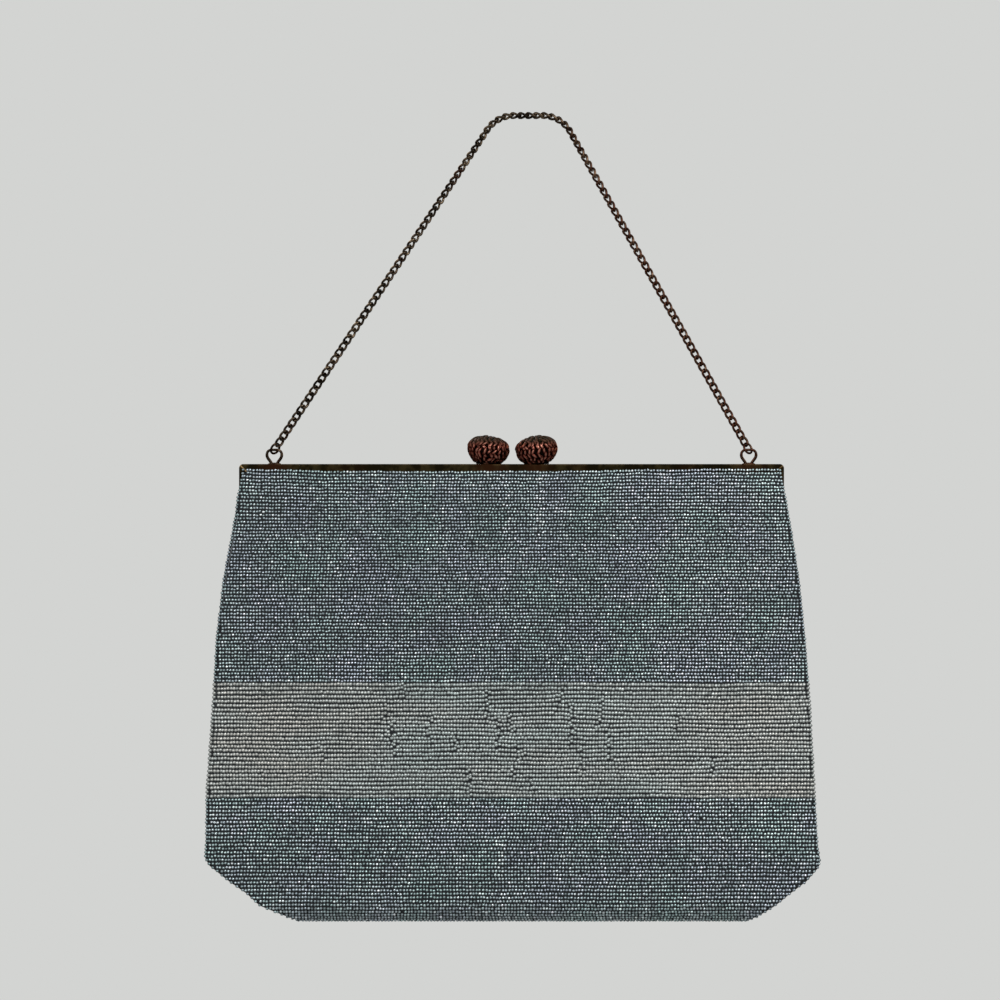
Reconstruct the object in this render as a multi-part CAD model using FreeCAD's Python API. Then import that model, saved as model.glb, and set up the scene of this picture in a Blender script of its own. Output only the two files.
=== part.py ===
import FreeCAD, Part
import math
import os

os.makedirs("parts", exist_ok=True)

# A beaded evening purse on a hinged brass frame, hanging shut by its chain handle.
# It is drawn in the bag's own place: X across, Y from front to back, Z up, with the
# origin at the middle of the frame's top. The last step moves every piece so that
# the origin lies under the top of the chain, where the handle is held.

Vector = FreeCAD.Vector

# Frame: two halves of pressed channel, each an upside-down U
FRAME_WIDTH = 203.0
BAR_HEIGHT = 2.8
HALF_DEPTH = 4.2
HALVES_GAP = 0.4
FRAME_WALL = 0.6
ARM_WIDTH = 1.6
CORNER_RADIUS = 1.6
EDGE_ROUND = 0.4
HINGE_DROP = 13.5

# Hinge lugs and their rivets
LUG_RADIUS = 2.6
LUG_PLAY = 0.15
LUG_RELIEF = 0.3
LUG_LAP = 3.0
RIVET_RADIUS = 0.9
RIVET_PLAY = 0.05
RIVET_HEAD_RADIUS = 1.7
RIVET_HEAD_HEIGHT = 0.5
RIVET_HEAD_GAP = 0.1
RIVET_HEAD_ROUND = 0.3

# Kiss-lock knobs, each riveted to its own half by a leaning post
KNOB_RADIUS = 7.6
KNOB_CROWN = 4.4
KNOB_SKIRT = 7.0
KNOB_SKIRT_CUT = 5.2
KNOB_TIP_RADIUS = 0.8
KNOB_CROWN_BANDS = 3
KNOB_SKIRT_BANDS = 3
KNOB_BAND_SWELL = 0.3
KNOB_SPACING = 17.9
KNOB_PAIR_MIDDLE = 0.35
KNOB_RISE = 6.05
KNOB_LEAN = 7.0
KNOB_CROSSING = 0.6
POST_RADIUS = 1.3
POST_PLAY = 0.05
POST_COLLAR_RADIUS = 1.8
POST_COLLAR_HEIGHT = 0.25
POST_INSERT = 3.0
POST_SHANK_RADIUS = 0.8
POST_CLINCH_RADIUS = 1.2
POST_CLINCH_HEIGHT = 0.25

# Chain eyes on the rear half, and the jump rings in them
EYE_INSET = 13.0
EYE_HALF_WIDTH = 2.75
EYE_RISE = 5.3
EYE_WIRE = 0.45
EYE_BEND = 1.7
EYE_LEAN = 13.0
EYE_LEG_BELOW = 0.6
EYE_PLAY = 0.06
RING_RADIUS = 2.0
RING_WIRE = 0.42
RING_TURN = 40.0
RING_PLAY = 0.1

# Curb chain handle
HANDLE_RISE = 130.0
HOLD_WIDTH = 24.0
HOLD_OFFSET = 6.5
HOLD_BEND = 12.0
LINK_PITCH = 2.87
LINK_WIRE = 0.72
LINK_HALF_WIDTH = 1.15
LINK_PLAY = 0.18
LINK_ROLL_AT_TOP = 60.0
LINK_STEPS = 12
LINK_SIDES = 5

# Bag body: beaded walls that widen downwards and turn under to a narrow base
BAG_DROP = 170.3
BAG_DEPTH = 29.0
FOLD_DEPTH = 12.4
UNDER_RADIUS = 8.5
PANEL_THICKNESS = 2.0
TUCK_THICKNESS = 1.4
TUCK_FRONT_GAP = 0.2
TUCK_TOP_GAP = 0.4
BULGE = 0.4
FOLD_RISE = 0.5
FOLD_REACH = 4.9
FOLD_GAP = 0.1
PANEL_GAP = 0.1

# Outline of the body seen from the front
SIDE_FLARE = 1.5
SIDE_BULGE = 2.3
TIP_FLARE = 13.0
TIP_DROP = 149.0
CLIP_WIDTH = 20.5
CLIP_DROP = 16.5
FOOT_RUN = 18.0
FOOT_BULGE = 0.9

# Gussets, base strip, stiffening card and lining
GUSSET_INSET = 1.0
GUSSET_THICKNESS = 1.0
GUSSET_FOLD_TOP = 7.0
GUSSET_FOLD_FOOT = 3.0
GUSSET_SECTIONS = 4
BASE_THICKNESS = 1.8
CARD_THICKNESS = 0.7
LINING_THICKNESS = 0.5
LINING_SIDE_GAP = 0.4
LINING_FLOOR_GAP = 0.3
CORD_RADIUS = 0.45
CORD_DROP = 1.95
CORD_END_GAP = 1.0

# Sizes worked out from those above
HALF_WIDTH = FRAME_WIDTH / 2
HALF_INNER = HALVES_GAP / 2
HALF_OUTER = HALF_INNER + HALF_DEPTH
HINGE_Z = -HINGE_DROP
ARM_END_Z = HINGE_Z + LUG_RADIUS + LUG_RELIEF
INNER_LUG_OUT = HALF_WIDTH - FRAME_WALL - LUG_PLAY
INNER_LUG_IN = INNER_LUG_OUT - FRAME_WALL
RIVET_IN = INNER_LUG_IN - RIVET_HEAD_GAP - RIVET_HEAD_HEIGHT
CLOTH_HALF_AT_HINGE = RIVET_IN - LUG_RELIEF
CLOTH_HALF_IN_ARM = HALF_WIDTH - FRAME_WALL - LUG_RELIEF
CLOTH_HALF_BETWEEN_ARMS = HALF_WIDTH - ARM_WIDTH - LUG_RELIEF
TUCK_OUT = HALF_OUTER - FRAME_WALL - TUCK_FRONT_GAP
TUCK_IN = TUCK_OUT - TUCK_THICKNESS
TUCK_TOP_Z = -FRAME_WALL - TUCK_TOP_GAP
BULGE_OUT = HALF_OUTER + BULGE
BULGE_IN = BULGE_OUT - PANEL_THICKNESS
BULGE_TOP_Z = -BAR_HEIGHT - LUG_RELIEF
FOLD_TOP_Z = HINGE_Z + FOLD_RISE
FOLD_FOOT_Z = HINGE_Z - FOLD_REACH
BASE_Z = -BAG_DROP
BELLY_Z = BASE_Z + UNDER_RADIUS
HALF_BAG = BAG_DEPTH / 2
HALF_FOLD = FOLD_DEPTH / 2
HALF_BASE = HALF_BAG - UNDER_RADIUS
BELLY_HEIGHT = FOLD_FOOT_Z - BELLY_Z
BELLY_GROWTH = HALF_BAG - HALF_FOLD
BELLY_RADIUS = (BELLY_GROWTH ** 2 + BELLY_HEIGHT ** 2) / (2 * BELLY_GROWTH)
TIP_Z = -TIP_DROP
LINK_ROLL_AT_RING = 45.0 - RING_TURN
LINK_HALF_SPAN_PLAY = LINK_WIRE + LINK_PLAY
INSIDE_TOP_Z = FOLD_FOOT_Z - LUG_RELIEF
TOWARDS_FRONT = Vector(0, -1, 0)
OVERRUN = 4.0
GUSSET_SPILL = 1.3
TINY = 1e-6


def polygon_face(points):
    """A flat face inside a closed run of points."""
    return Part.Face(Part.makePolygon(points + points[:1]))


def across(pairs, half_width):
    """A solid whose side view is the given (y, z) outline, centred on x = 0."""
    face = polygon_face([Vector(-half_width, y, z) for y, z in pairs])
    return face.extrude(Vector(2 * half_width, 0, 0))


def through(face, half_depth):
    """A face in the plane y = 0 made into a solid that reaches half_depth both ways."""
    moved = face.copy()
    moved.translate(Vector(0, -half_depth, 0))
    return moved.extrude(Vector(0, 2 * half_depth, 0))


def to_rear(shape):
    """The same piece on the rear side."""
    return shape.mirror(Vector(0, 0, 0), Vector(0, 1, 0))


def to_left(shape):
    """The same piece at the other end of the frame."""
    return shape.mirror(Vector(0, 0, 0), Vector(1, 0, 0))


def solid_of(shape):
    """The one solid that a cut or a join left."""
    clean = shape.removeSplitter()
    if len(clean.Solids) != 1:
        raise ValueError("expected one solid, got %d" % len(clean.Solids))
    return clean.Solids[0]


# Frame halves

def rounded_box(half_width, y_near, y_far, z_low, z_high, radius):
    """A box with its two upper corners rounded as seen from the front."""
    box = Part.makeBox(2 * half_width, y_far - y_near, z_high - z_low,
                       Vector(-half_width, y_near, z_low))
    corners = []
    for edge in box.Edges:
        middle = edge.CenterOfMass
        at_top = abs(middle.z - z_high) < TINY
        at_side = abs(abs(middle.x) - half_width) < TINY
        if at_top and at_side:
            corners.append(edge)
    return box.makeFillet(radius, corners)


def channel_half():
    """The rear half's channel without lugs: walls on the outside, open towards the cloth."""
    outer = rounded_box(HALF_WIDTH, HALF_INNER, HALF_OUTER, ARM_END_Z, 0, CORNER_RADIUS)
    rim = [edge for edge in outer.Edges if on_outer_rim(edge)]
    outer = outer.makeFillet(EDGE_ROUND, rim)
    window = Part.makeBox(2 * (HALF_WIDTH - ARM_WIDTH), HALF_DEPTH + 2 * OVERRUN,
                          -ARM_END_Z - BAR_HEIGHT + OVERRUN,
                          Vector(-HALF_WIDTH + ARM_WIDTH, HALF_INNER - OVERRUN, ARM_END_Z - OVERRUN))
    hollow = rounded_box(HALF_WIDTH - FRAME_WALL, HALF_INNER + FRAME_WALL, HALF_OUTER - FRAME_WALL,
                         ARM_END_Z - OVERRUN, -FRAME_WALL, CORNER_RADIUS - FRAME_WALL)
    return outer.cut(window).cut(hollow)


def on_outer_rim(edge):
    """Is this edge on the outline of the half's outward face, apart from the arm ends?"""
    middle = edge.CenterOfMass
    flat = abs(middle.y - HALF_OUTER) < TINY
    return flat and middle.z > ARM_END_Z + TINY


def tangent_point(y, z, turn):
    """Where a line from (y, z), measured from the hinge, touches the lug's circle."""
    reach = math.hypot(y, z)
    angle = math.atan2(z, y) + turn * math.acos(LUG_RADIUS / reach)
    return LUG_RADIUS * math.cos(angle), LUG_RADIUS * math.sin(angle)


def rear_lug(x_near, x_far, lap):
    """A lug plate at the right arm of the rear half, with its strap and its rivet hole."""
    shoulder = LUG_RADIUS + LUG_RELIEF
    inner_touch = tangent_point(HALF_INNER, shoulder, 1)
    outer_touch = tangent_point(HALF_OUTER, shoulder, -1)
    outline = [(HALF_OUTER, shoulder), (HALF_INNER, shoulder), inner_touch, (0, 0), outer_touch]
    strap = polygon_face([Vector(x_near, y, HINGE_Z + z) for y, z in outline])
    plate = strap.extrude(Vector(x_far - x_near, 0, 0))
    disc = Part.makeCylinder(LUG_RADIUS, x_far - x_near, Vector(x_near, 0, HINGE_Z), Vector(1, 0, 0))
    root = Part.makeBox(x_far - x_near, HALF_DEPTH, lap, Vector(x_near, HALF_INNER, ARM_END_Z))
    return plate.fuse(disc).fuse(root)


def rivet_hole():
    """The room that a rivet's shank takes through both lugs at the right end."""
    length = HALF_WIDTH - INNER_LUG_IN + 2 * OVERRUN
    return Part.makeCylinder(RIVET_RADIUS + RIVET_PLAY, length,
                             Vector(INNER_LUG_IN - OVERRUN, 0, HINGE_Z), Vector(1, 0, 0))


def frame_half(lug):
    """A half with the same lug at both arms, as the rear one lies."""
    half = channel_half().fuse([lug, to_left(lug)])
    return half.cut([rivet_hole(), to_left(rivet_hole())])


def make_rear_frame():
    """The rear half: lugs inside the front half's, holes for the eyes and for its knob's post."""
    half = frame_half(rear_lug(INNER_LUG_IN, INNER_LUG_OUT, LUG_LAP))
    legs = [eye_leg_hole(side, leg) for side in (-1, 1) for leg in (-1, 1)]
    return solid_of(half.cut(legs + [post_hole(1)]))


def make_front_frame():
    """The front half: its lugs carry on its outer walls, outside the rear half's."""
    half = to_rear(frame_half(rear_lug(HALF_WIDTH - FRAME_WALL, HALF_WIDTH, EDGE_ROUND)))
    return solid_of(half.cut(post_hole(-1)))


def make_rivet(side):
    """A hinge rivet with a domed head outside and a flat one inside."""
    head_out = HALF_WIDTH + RIVET_HEAD_GAP
    along = Vector(1, 0, 0)
    shank = Part.makeCylinder(RIVET_RADIUS, head_out - RIVET_IN, Vector(RIVET_IN, 0, HINGE_Z), along)
    inner = Part.makeCylinder(RIVET_HEAD_RADIUS, RIVET_HEAD_HEIGHT, Vector(RIVET_IN, 0, HINGE_Z), along)
    outer = Part.makeCylinder(RIVET_HEAD_RADIUS, RIVET_HEAD_HEIGHT, Vector(head_out, 0, HINGE_Z), along)
    rim = [edge for edge in outer.Edges if edge.CenterOfMass.x > head_out + RIVET_HEAD_HEIGHT / 2
           and edge.isClosed()]
    outer = outer.makeFillet(RIVET_HEAD_ROUND, rim)
    rivet = solid_of(shank.fuse([inner, outer]))
    return rivet if side > 0 else to_left(rivet)


# Kiss-lock knobs and posts. Side -1 is the left knob, on the front half; 1 is the right one, on the rear half.

def knob_centre(side):
    """The middle of a knob at its widest."""
    return Vector(KNOB_PAIR_MIDDLE + side * KNOB_SPACING / 2, -side * KNOB_CROSSING, KNOB_RISE)


def post_foot(side):
    """Where a knob's post stands on its half's top."""
    return Vector(knob_centre(side).x + side * KNOB_SKIRT_CUT * math.sin(math.radians(KNOB_LEAN)),
                  side * (HALF_INNER + HALF_DEPTH / 2), 0)


def knob_axis(side):
    """A knob's own upward direction: the pair lean towards each other."""
    lean = math.radians(KNOB_LEAN)
    return Vector(-side * math.sin(lean), 0, math.cos(lean))


def knob_profile():
    """Half the knob's section: rope bands that swell between the points of a flattened bun."""
    skirt_angle = -math.asin(KNOB_SKIRT_CUT / KNOB_SKIRT)
    angles = [skirt_angle * (1 - step / KNOB_SKIRT_BANDS) for step in range(KNOB_SKIRT_BANDS)]
    tip_angle = math.acos(KNOB_TIP_RADIUS / KNOB_RADIUS)
    angles += [tip_angle * step / KNOB_CROWN_BANDS for step in range(KNOB_CROWN_BANDS + 1)]
    ring = []
    for angle in angles:
        height = KNOB_CROWN if angle > 0 else KNOB_SKIRT
        ring.append(Vector(KNOB_RADIUS * math.cos(angle), 0, height * math.sin(angle)))
    edges = [Part.makeLine(Vector(0, 0, ring[0].z), ring[0])]
    for low, high in zip(ring[:-1], ring[1:]):
        chord = high.sub(low)
        outward = Vector(chord.z, 0, -chord.x).normalize()
        crest = low.add(chord.multiply(0.5)).add(outward.multiply(KNOB_BAND_SWELL))
        edges.append(Part.Arc(low, crest, high).toShape())
    edges.append(Part.makeLine(ring[-1], Vector(0, 0, ring[-1].z)))
    edges.append(Part.makeLine(Vector(0, 0, ring[-1].z), Vector(0, 0, ring[0].z)))
    return Part.Face(Part.Wire(edges))


def make_knob(side):
    """A rope-banded knob with the bore that its post is pressed into."""
    knob = knob_profile().revolve(Vector(0, 0, 0), Vector(0, 0, 1), 360)
    knob.Placement = FreeCAD.Placement(knob_centre(side), FreeCAD.Rotation(Vector(0, 0, 1), knob_axis(side)))
    return solid_of(knob.cut(post_neck(side, POST_PLAY)))


def post_neck(side, play):
    """The leaning stretch of a post, from its half up into the knob."""
    foot = post_foot(side)
    reach = knob_centre(side).sub(foot)
    direction = Vector(reach).normalize()
    length = reach.Length - KNOB_SKIRT_CUT + POST_INSERT + play
    start = foot.sub(Vector(direction).multiply(POST_RADIUS))
    return Part.makeCylinder(POST_RADIUS + play, POST_RADIUS + length, start, direction)


def post_hole(side):
    """The hole in the half's web for a post's shank."""
    foot = post_foot(side)
    return Part.makeCylinder(POST_SHANK_RADIUS + POST_PLAY, FRAME_WALL + 2 * EDGE_ROUND,
                             Vector(foot.x, foot.y, -FRAME_WALL - EDGE_ROUND))


def make_post(side):
    """A knob's post: leaning neck, collar on the bar, shank through the web, clinched underneath."""
    foot = post_foot(side)
    above = Part.makeBox(FRAME_WIDTH, BAG_DEPTH, KNOB_RISE + KNOB_CROWN, Vector(-HALF_WIDTH, -HALF_BAG, 0))
    neck = post_neck(side, 0).common(above)
    collar = Part.makeCylinder(POST_COLLAR_RADIUS, POST_COLLAR_HEIGHT, foot)
    clinch_z = -FRAME_WALL - POST_CLINCH_HEIGHT
    shank = Part.makeCylinder(POST_SHANK_RADIUS, -clinch_z, Vector(foot.x, foot.y, clinch_z))
    clinch = Part.makeCylinder(POST_CLINCH_RADIUS, POST_CLINCH_HEIGHT, Vector(foot.x, foot.y, clinch_z))
    return solid_of(neck.fuse([collar, shank, clinch]))


# Chain eyes and jump rings

def wire_along(edges, radius):
    """A round wire that follows joined edges."""
    path = Part.Wire(edges)
    start = edges[0].valueAt(edges[0].FirstParameter)
    heading = edges[0].tangentAt(edges[0].FirstParameter)
    ring = Part.Wire(Part.makeCircle(radius, start, heading))
    return path.makePipeShell([ring], True, True)


def eye_bar(side):
    """The middle of an eye's top bar, which the handle swings about."""
    return Vector(side * (HALF_WIDTH - EYE_INSET), 0, EYE_RISE)


def lean_about_bar(shape, side):
    """Lean an upright eye so that its legs go down into the rear half."""
    shape.rotate(eye_bar(side), Vector(1, 0, 0), EYE_LEAN)
    return shape


def leg_length():
    """An eye's leg from its bar to just below the web."""
    return (EYE_RISE + FRAME_WALL + EYE_LEG_BELOW) / math.cos(math.radians(EYE_LEAN))


def eye_leg_hole(side, leg):
    """The leaning hole in the web for one leg of an eye."""
    bar = eye_bar(side)
    foot = Vector(bar.x + leg * EYE_HALF_WIDTH, bar.y, bar.z - leg_length() - OVERRUN)
    length = leg_length() + OVERRUN - EYE_BEND
    return lean_about_bar(Part.makeCylinder(EYE_WIRE + EYE_PLAY, length, foot), side)


def make_eye(side):
    """A staple of round wire: two legs through the web and a short top bar with round shoulders."""
    bar = eye_bar(side)
    left, right = bar.x - EYE_HALF_WIDTH, bar.x + EYE_HALF_WIDTH
    low, shoulder = bar.z - leg_length(), bar.z - EYE_BEND
    slant = EYE_BEND * math.sqrt(0.5)
    points = [Vector(left, 0, low), Vector(left, 0, shoulder), Vector(left + EYE_BEND, 0, bar.z),
              Vector(right - EYE_BEND, 0, bar.z), Vector(right, 0, shoulder), Vector(right, 0, low)]
    first_bend = Vector(left + EYE_BEND - slant, 0, shoulder + slant)
    second_bend = Vector(right - EYE_BEND + slant, 0, shoulder + slant)
    edges = [Part.makeLine(points[0], points[1]),
             Part.Arc(points[1], first_bend, points[2]).toShape(),
             Part.makeLine(points[2], points[3]),
             Part.Arc(points[3], second_bend, points[4]).toShape(),
             Part.makeLine(points[4], points[5])]
    return lean_about_bar(wire_along(edges, EYE_WIRE), side)


def handle_corner(side):
    """The corner that a chain run makes for at the top of the handle."""
    return Vector(HOLD_OFFSET + side * HOLD_WIDTH / 2, 0, HANDLE_RISE)


def pull(side):
    """The direction in which the chain pulls on an eye."""
    return handle_corner(side).sub(eye_bar(side)).normalize()


def ring_sideways(side):
    """The direction across a jump ring, square to the pull."""
    draw = pull(side)
    turn = math.radians(RING_TURN)
    return Vector(math.sin(turn) * draw.z, math.cos(turn), -math.sin(turn) * draw.x)


def ring_reach(side):
    """How far along the pull a ring's centre lies from the bar, when the ring just clears it."""
    draw, cross = pull(side), ring_sideways(side)
    step = 0.01
    reach = RING_RADIUS
    while True:
        nearest = RING_RADIUS
        for degrees in range(-90, 91):
            angle = math.radians(degrees)
            along = reach - RING_RADIUS * math.cos(angle)
            aside = RING_RADIUS * math.sin(angle)
            y = aside * cross.y
            z = along * draw.z + aside * cross.z
            nearest = min(nearest, math.hypot(y, z))
        if nearest >= EYE_WIRE + RING_WIRE + RING_PLAY or reach <= 0:
            return reach
        reach -= step


def ring_centre(side):
    """The middle of a jump ring."""
    return eye_bar(side).add(pull(side).multiply(ring_reach(side)))


def make_ring(side):
    """A jump ring round the bar of its eye."""
    normal = pull(side).cross(ring_sideways(side))
    return Part.makeTorus(RING_RADIUS, RING_WIRE, ring_centre(side), normal)


# Chain: one twisted link, repeated along two straight runs and over the top

def chain_ends():
    """The chain's first and last points: the inner sides of the jump rings."""
    inset = RING_RADIUS - RING_WIRE - LINK_WIRE / 2 - LINK_PLAY
    return [ring_centre(side).add(pull(side).multiply(inset)) for side in (-1, 1)]


def chain_stretches():
    """The chain's line from its start to its end, as stretches of a length and a turn."""
    start, end = chain_ends()
    rise, fall = pull(-1), pull(1).multiply(-1)
    level = Vector(1, 0, 0)
    turns = [rise.getAngle(level), level.getAngle(fall)]
    trims = [HOLD_BEND * math.tan(turn / 2) for turn in turns]
    first = handle_corner(-1).sub(start).Length - trims[0]
    top = HOLD_WIDTH - trims[0] - trims[1]
    last = end.sub(handle_corner(1)).Length - trims[1]
    return [(first, 0), (HOLD_BEND * turns[0], turns[0]), (top, 0),
            (HOLD_BEND * turns[1], turns[1]), (last, 0)]


def chain_point(distance, stretches):
    """The place and heading of the chain's line at a distance from its start."""
    place = chain_ends()[0]
    angle = math.atan2(pull(-1).z, pull(-1).x)
    for length, turn in stretches:
        part = min(distance, length)
        if turn:
            swung = turn * part / length
            place = place.add(Vector(HOLD_BEND * (math.sin(angle) - math.sin(angle - swung)), 0,
                                     HOLD_BEND * (math.cos(angle - swung) - math.cos(angle))))
            angle -= swung
        else:
            place = place.add(Vector(math.cos(angle), 0, math.sin(angle)).multiply(part))
        distance -= part
        if distance <= 0:
            break
    return place, Vector(math.cos(angle), 0, math.sin(angle))


def chain_roll(distance, stretches):
    """How far the chain has rolled about its own line, from its rings to its top."""
    first = stretches[0][0]
    last = stretches[-1][0]
    total = sum(length for length, turn in stretches)
    if distance < first:
        return LINK_ROLL_AT_RING + (LINK_ROLL_AT_TOP - LINK_ROLL_AT_RING) * distance / first
    if distance > total - last:
        return LINK_ROLL_AT_TOP - (LINK_ROLL_AT_TOP + LINK_ROLL_AT_RING) * (distance - total + last) / last
    return LINK_ROLL_AT_TOP


def link_line(half_length, angle):
    """A point on a link's twisted oval, whose two ends lie square to each other."""
    return Vector(half_length * math.cos(angle), LINK_HALF_WIDTH * math.sin(angle),
                  LINK_HALF_WIDTH / 2 * math.sin(2 * angle))


def make_link(half_length):
    """One link: a faceted round wire round the twisted oval."""
    rings = []
    step = 2 * math.pi / LINK_STEPS
    for count in range(LINK_STEPS):
        angle = count * step
        here = link_line(half_length, angle)
        heading = Vector(-half_length * math.sin(angle), LINK_HALF_WIDTH * math.cos(angle),
                         LINK_HALF_WIDTH * math.cos(2 * angle)).normalize()
        outward = Vector(here.x, here.y, 0)
        side = outward.sub(Vector(heading).multiply(outward.dot(heading))).normalize()
        upward = heading.cross(side)
        ring = []
        for corner in range(LINK_SIDES):
            turn = 2 * math.pi * corner / LINK_SIDES
            spoke = Vector(side).multiply(math.cos(turn)).add(Vector(upward).multiply(math.sin(turn)))
            ring.append(here.add(spoke.multiply(LINK_WIRE / 2)))
        rings.append(ring)
    faces = []
    for count in range(LINK_STEPS):
        near, far = rings[count], rings[(count + 1) % LINK_STEPS]
        for corner in range(LINK_SIDES):
            following = (corner + 1) % LINK_SIDES
            faces.append(polygon_face([near[corner], near[following], far[following]]))
            faces.append(polygon_face([near[corner], far[following], far[corner]]))
    solid = Part.Solid(Part.makeShell(faces))
    if solid.Volume < 0:
        solid.reverse()
    return solid


def make_chain():
    """The links of the left run, of the top and of the right run, each as a group."""
    stretches = chain_stretches()
    total = sum(length for length, turn in stretches)
    count = round((total - LINK_HALF_SPAN_PLAY) / LINK_PITCH)
    pitch = (total - LINK_HALF_SPAN_PLAY) / count
    half_length = (pitch + LINK_HALF_SPAN_PLAY) / 2
    link = make_link(half_length)
    groups = {"handle_chain_left": [], "handle_chain_top": [], "handle_chain_right": []}
    for number in range(count):
        distance = half_length + number * pitch
        place, heading = chain_point(distance, stretches)
        roll = math.radians(chain_roll(distance, stretches))
        level = TOWARDS_FRONT.cross(heading)
        width = Vector(level).multiply(math.cos(roll)).add(Vector(TOWARDS_FRONT).multiply(math.sin(roll)))
        face = heading.cross(width)
        piece = link.copy()
        piece.Placement = FreeCAD.Placement(place, FreeCAD.Rotation(heading, width, face, "XYZ"))
        if distance < stretches[0][0]:
            groups["handle_chain_left"].append(piece)
        elif distance > total - stretches[-1][0]:
            groups["handle_chain_right"].append(piece)
        else:
            groups["handle_chain_top"].append(piece)
    print("links %d, pitch %.3f, chain length %.1f" % (count, pitch, count * pitch))
    return {name: Part.makeCompound(links) for name, links in groups.items()}


# Bag body

def wall_depth(offset, z):
    """Distance from the middle plane to a layer of a wall, offset inwards from its outer face."""
    return math.sqrt((BELLY_RADIUS - offset) ** 2 - (z - BELLY_Z) ** 2) - (BELLY_RADIUS - HALF_BAG)


def wall_edges(offset, top):
    """The side view of a layer's face at the front: down the belly, then under to the base."""
    middle_z = (top + BELLY_Z) / 2
    curl = UNDER_RADIUS - offset
    slant = curl * math.sqrt(0.5)
    start = Vector(0, -wall_depth(offset, top), top)
    middle = Vector(0, -wall_depth(offset, middle_z), middle_z)
    belly = Vector(0, -wall_depth(offset, BELLY_Z), BELLY_Z)
    turn = Vector(0, -HALF_BASE - slant, BELLY_Z - slant)
    end = Vector(0, -HALF_BASE, BELLY_Z - curl)
    edges = [Part.Arc(start, middle, belly).toShape(), Part.Arc(belly, turn, end).toShape()]
    return start, edges, end


def spread(face):
    """A side-view face in the plane x = 0 made wide enough for the whole bag."""
    reach = HALF_WIDTH + TIP_FLARE + OVERRUN
    moved = face.copy()
    moved.translate(Vector(-reach, 0, 0))
    return moved.extrude(Vector(2 * reach, 0, 0))


def wall_layer(outer, inner, top):
    """A layer of the front wall between two offsets, as wide as the whole bag."""
    start_out, outside, end_out = wall_edges(outer, top)
    start_in, inside, end_in = wall_edges(inner, top)
    edges = outside + [Part.makeLine(end_out, end_in)] + inside + [Part.makeLine(start_in, start_out)]
    return spread(Part.Face(Part.Wire(Part.sortEdges(edges)[0])))


def inner_room(offset, top, floor_z):
    """All that lies between the front and rear layers at an offset, down to a flat floor."""
    start, edges, end = wall_edges(offset, top)
    slot = HALF_BASE - PANEL_GAP
    front = edges + [Part.makeLine(end, Vector(0, -slot, end.z)),
                     Part.makeLine(Vector(0, -slot, end.z), Vector(0, -slot, floor_z))]
    rear = [to_rear(edge) for edge in front]
    ends = [Part.makeLine(Vector(0, -slot, floor_z), Vector(0, slot, floor_z)),
            Part.makeLine(start, Vector(0, -start.y, start.z))]
    return spread(Part.Face(Part.Wire(Part.sortEdges(front + rear + ends)[0])))


def side_arc():
    """The right side of the outline: its start, the top of its bulge and its tip."""
    start = Vector(HALF_WIDTH + SIDE_FLARE, 0, FOLD_FOOT_Z)
    tip = Vector(HALF_WIDTH + TIP_FLARE, 0, TIP_Z)
    chord = tip.sub(start)
    outward = Vector(-chord.z, 0, chord.x).normalize()
    crest = start.add(Vector(chord).multiply(0.5)).add(outward.multiply(SIDE_BULGE))
    return start, crest, tip


def side_width(z):
    """Half the outline's width at a height between its start and its tip."""
    start, crest, tip = side_arc()
    circle = Part.Arc(start, crest, tip).toShape().Curve
    return circle.Center.x + math.sqrt(circle.Radius ** 2 - (z - circle.Center.z) ** 2)


def outline_face(overrun):
    """The body's outline from the front. An overrun carries it past the top and the base, for cutting."""
    start, crest, tip = side_arc()
    clip = Vector(tip.x - CLIP_WIDTH, 0, tip.z - CLIP_DROP)
    foot = Vector(clip.x - FOOT_RUN, 0, BASE_Z)
    chord = foot.sub(clip)
    outward = Vector(-chord.z, 0, chord.x).normalize()
    heel = clip.add(Vector(chord).multiply(0.5)).add(outward.multiply(FOOT_BULGE))
    right = [Part.Arc(start, crest, tip).toShape(), Part.makeLine(tip, clip),
             Part.Arc(clip, heel, foot).toShape()]
    top_corner, base_corner = start, foot
    if overrun:
        top_corner = start.add(Vector(0, 0, overrun))
        base_corner = foot.add(Vector(0, 0, -overrun))
        right += [Part.makeLine(top_corner, start), Part.makeLine(foot, base_corner)]
    left = [to_left(edge) for edge in right]
    ends = [Part.makeLine(top_corner, Vector(-top_corner.x, 0, top_corner.z)),
            Part.makeLine(base_corner, Vector(-base_corner.x, 0, base_corner.z))]
    return Part.Face(Part.Wire(Part.sortEdges(right + left + ends)[0]))


def body_outline():
    """The outline as a solid that cuts the body's layers to shape."""
    return through(outline_face(OVERRUN), BAG_DEPTH)


def make_lower_panel():
    """The beaded front wall below the hinge line."""
    return solid_of(wall_layer(0, PANEL_THICKNESS, FOLD_FOOT_Z).common(body_outline()))


def make_fold(gap):
    """The stretch of the front wall that bends when the frame opens, short of its neighbours by a gap."""
    top, foot = FOLD_TOP_Z - gap, FOLD_FOOT_Z + gap
    side = across([(-BULGE_OUT, top), (-BULGE_IN, top), (-wall_depth(PANEL_THICKNESS, FOLD_FOOT_Z), foot),
                   (-HALF_FOLD, foot)], HALF_WIDTH)
    front = polygon_face([Vector(-CLOTH_HALF_AT_HINGE, 0, top), Vector(CLOTH_HALF_AT_HINGE, 0, top),
                          Vector(HALF_WIDTH, 0, foot), Vector(-HALF_WIDTH, 0, foot)])
    return solid_of(side.common(through(front, BAG_DEPTH)))


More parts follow.
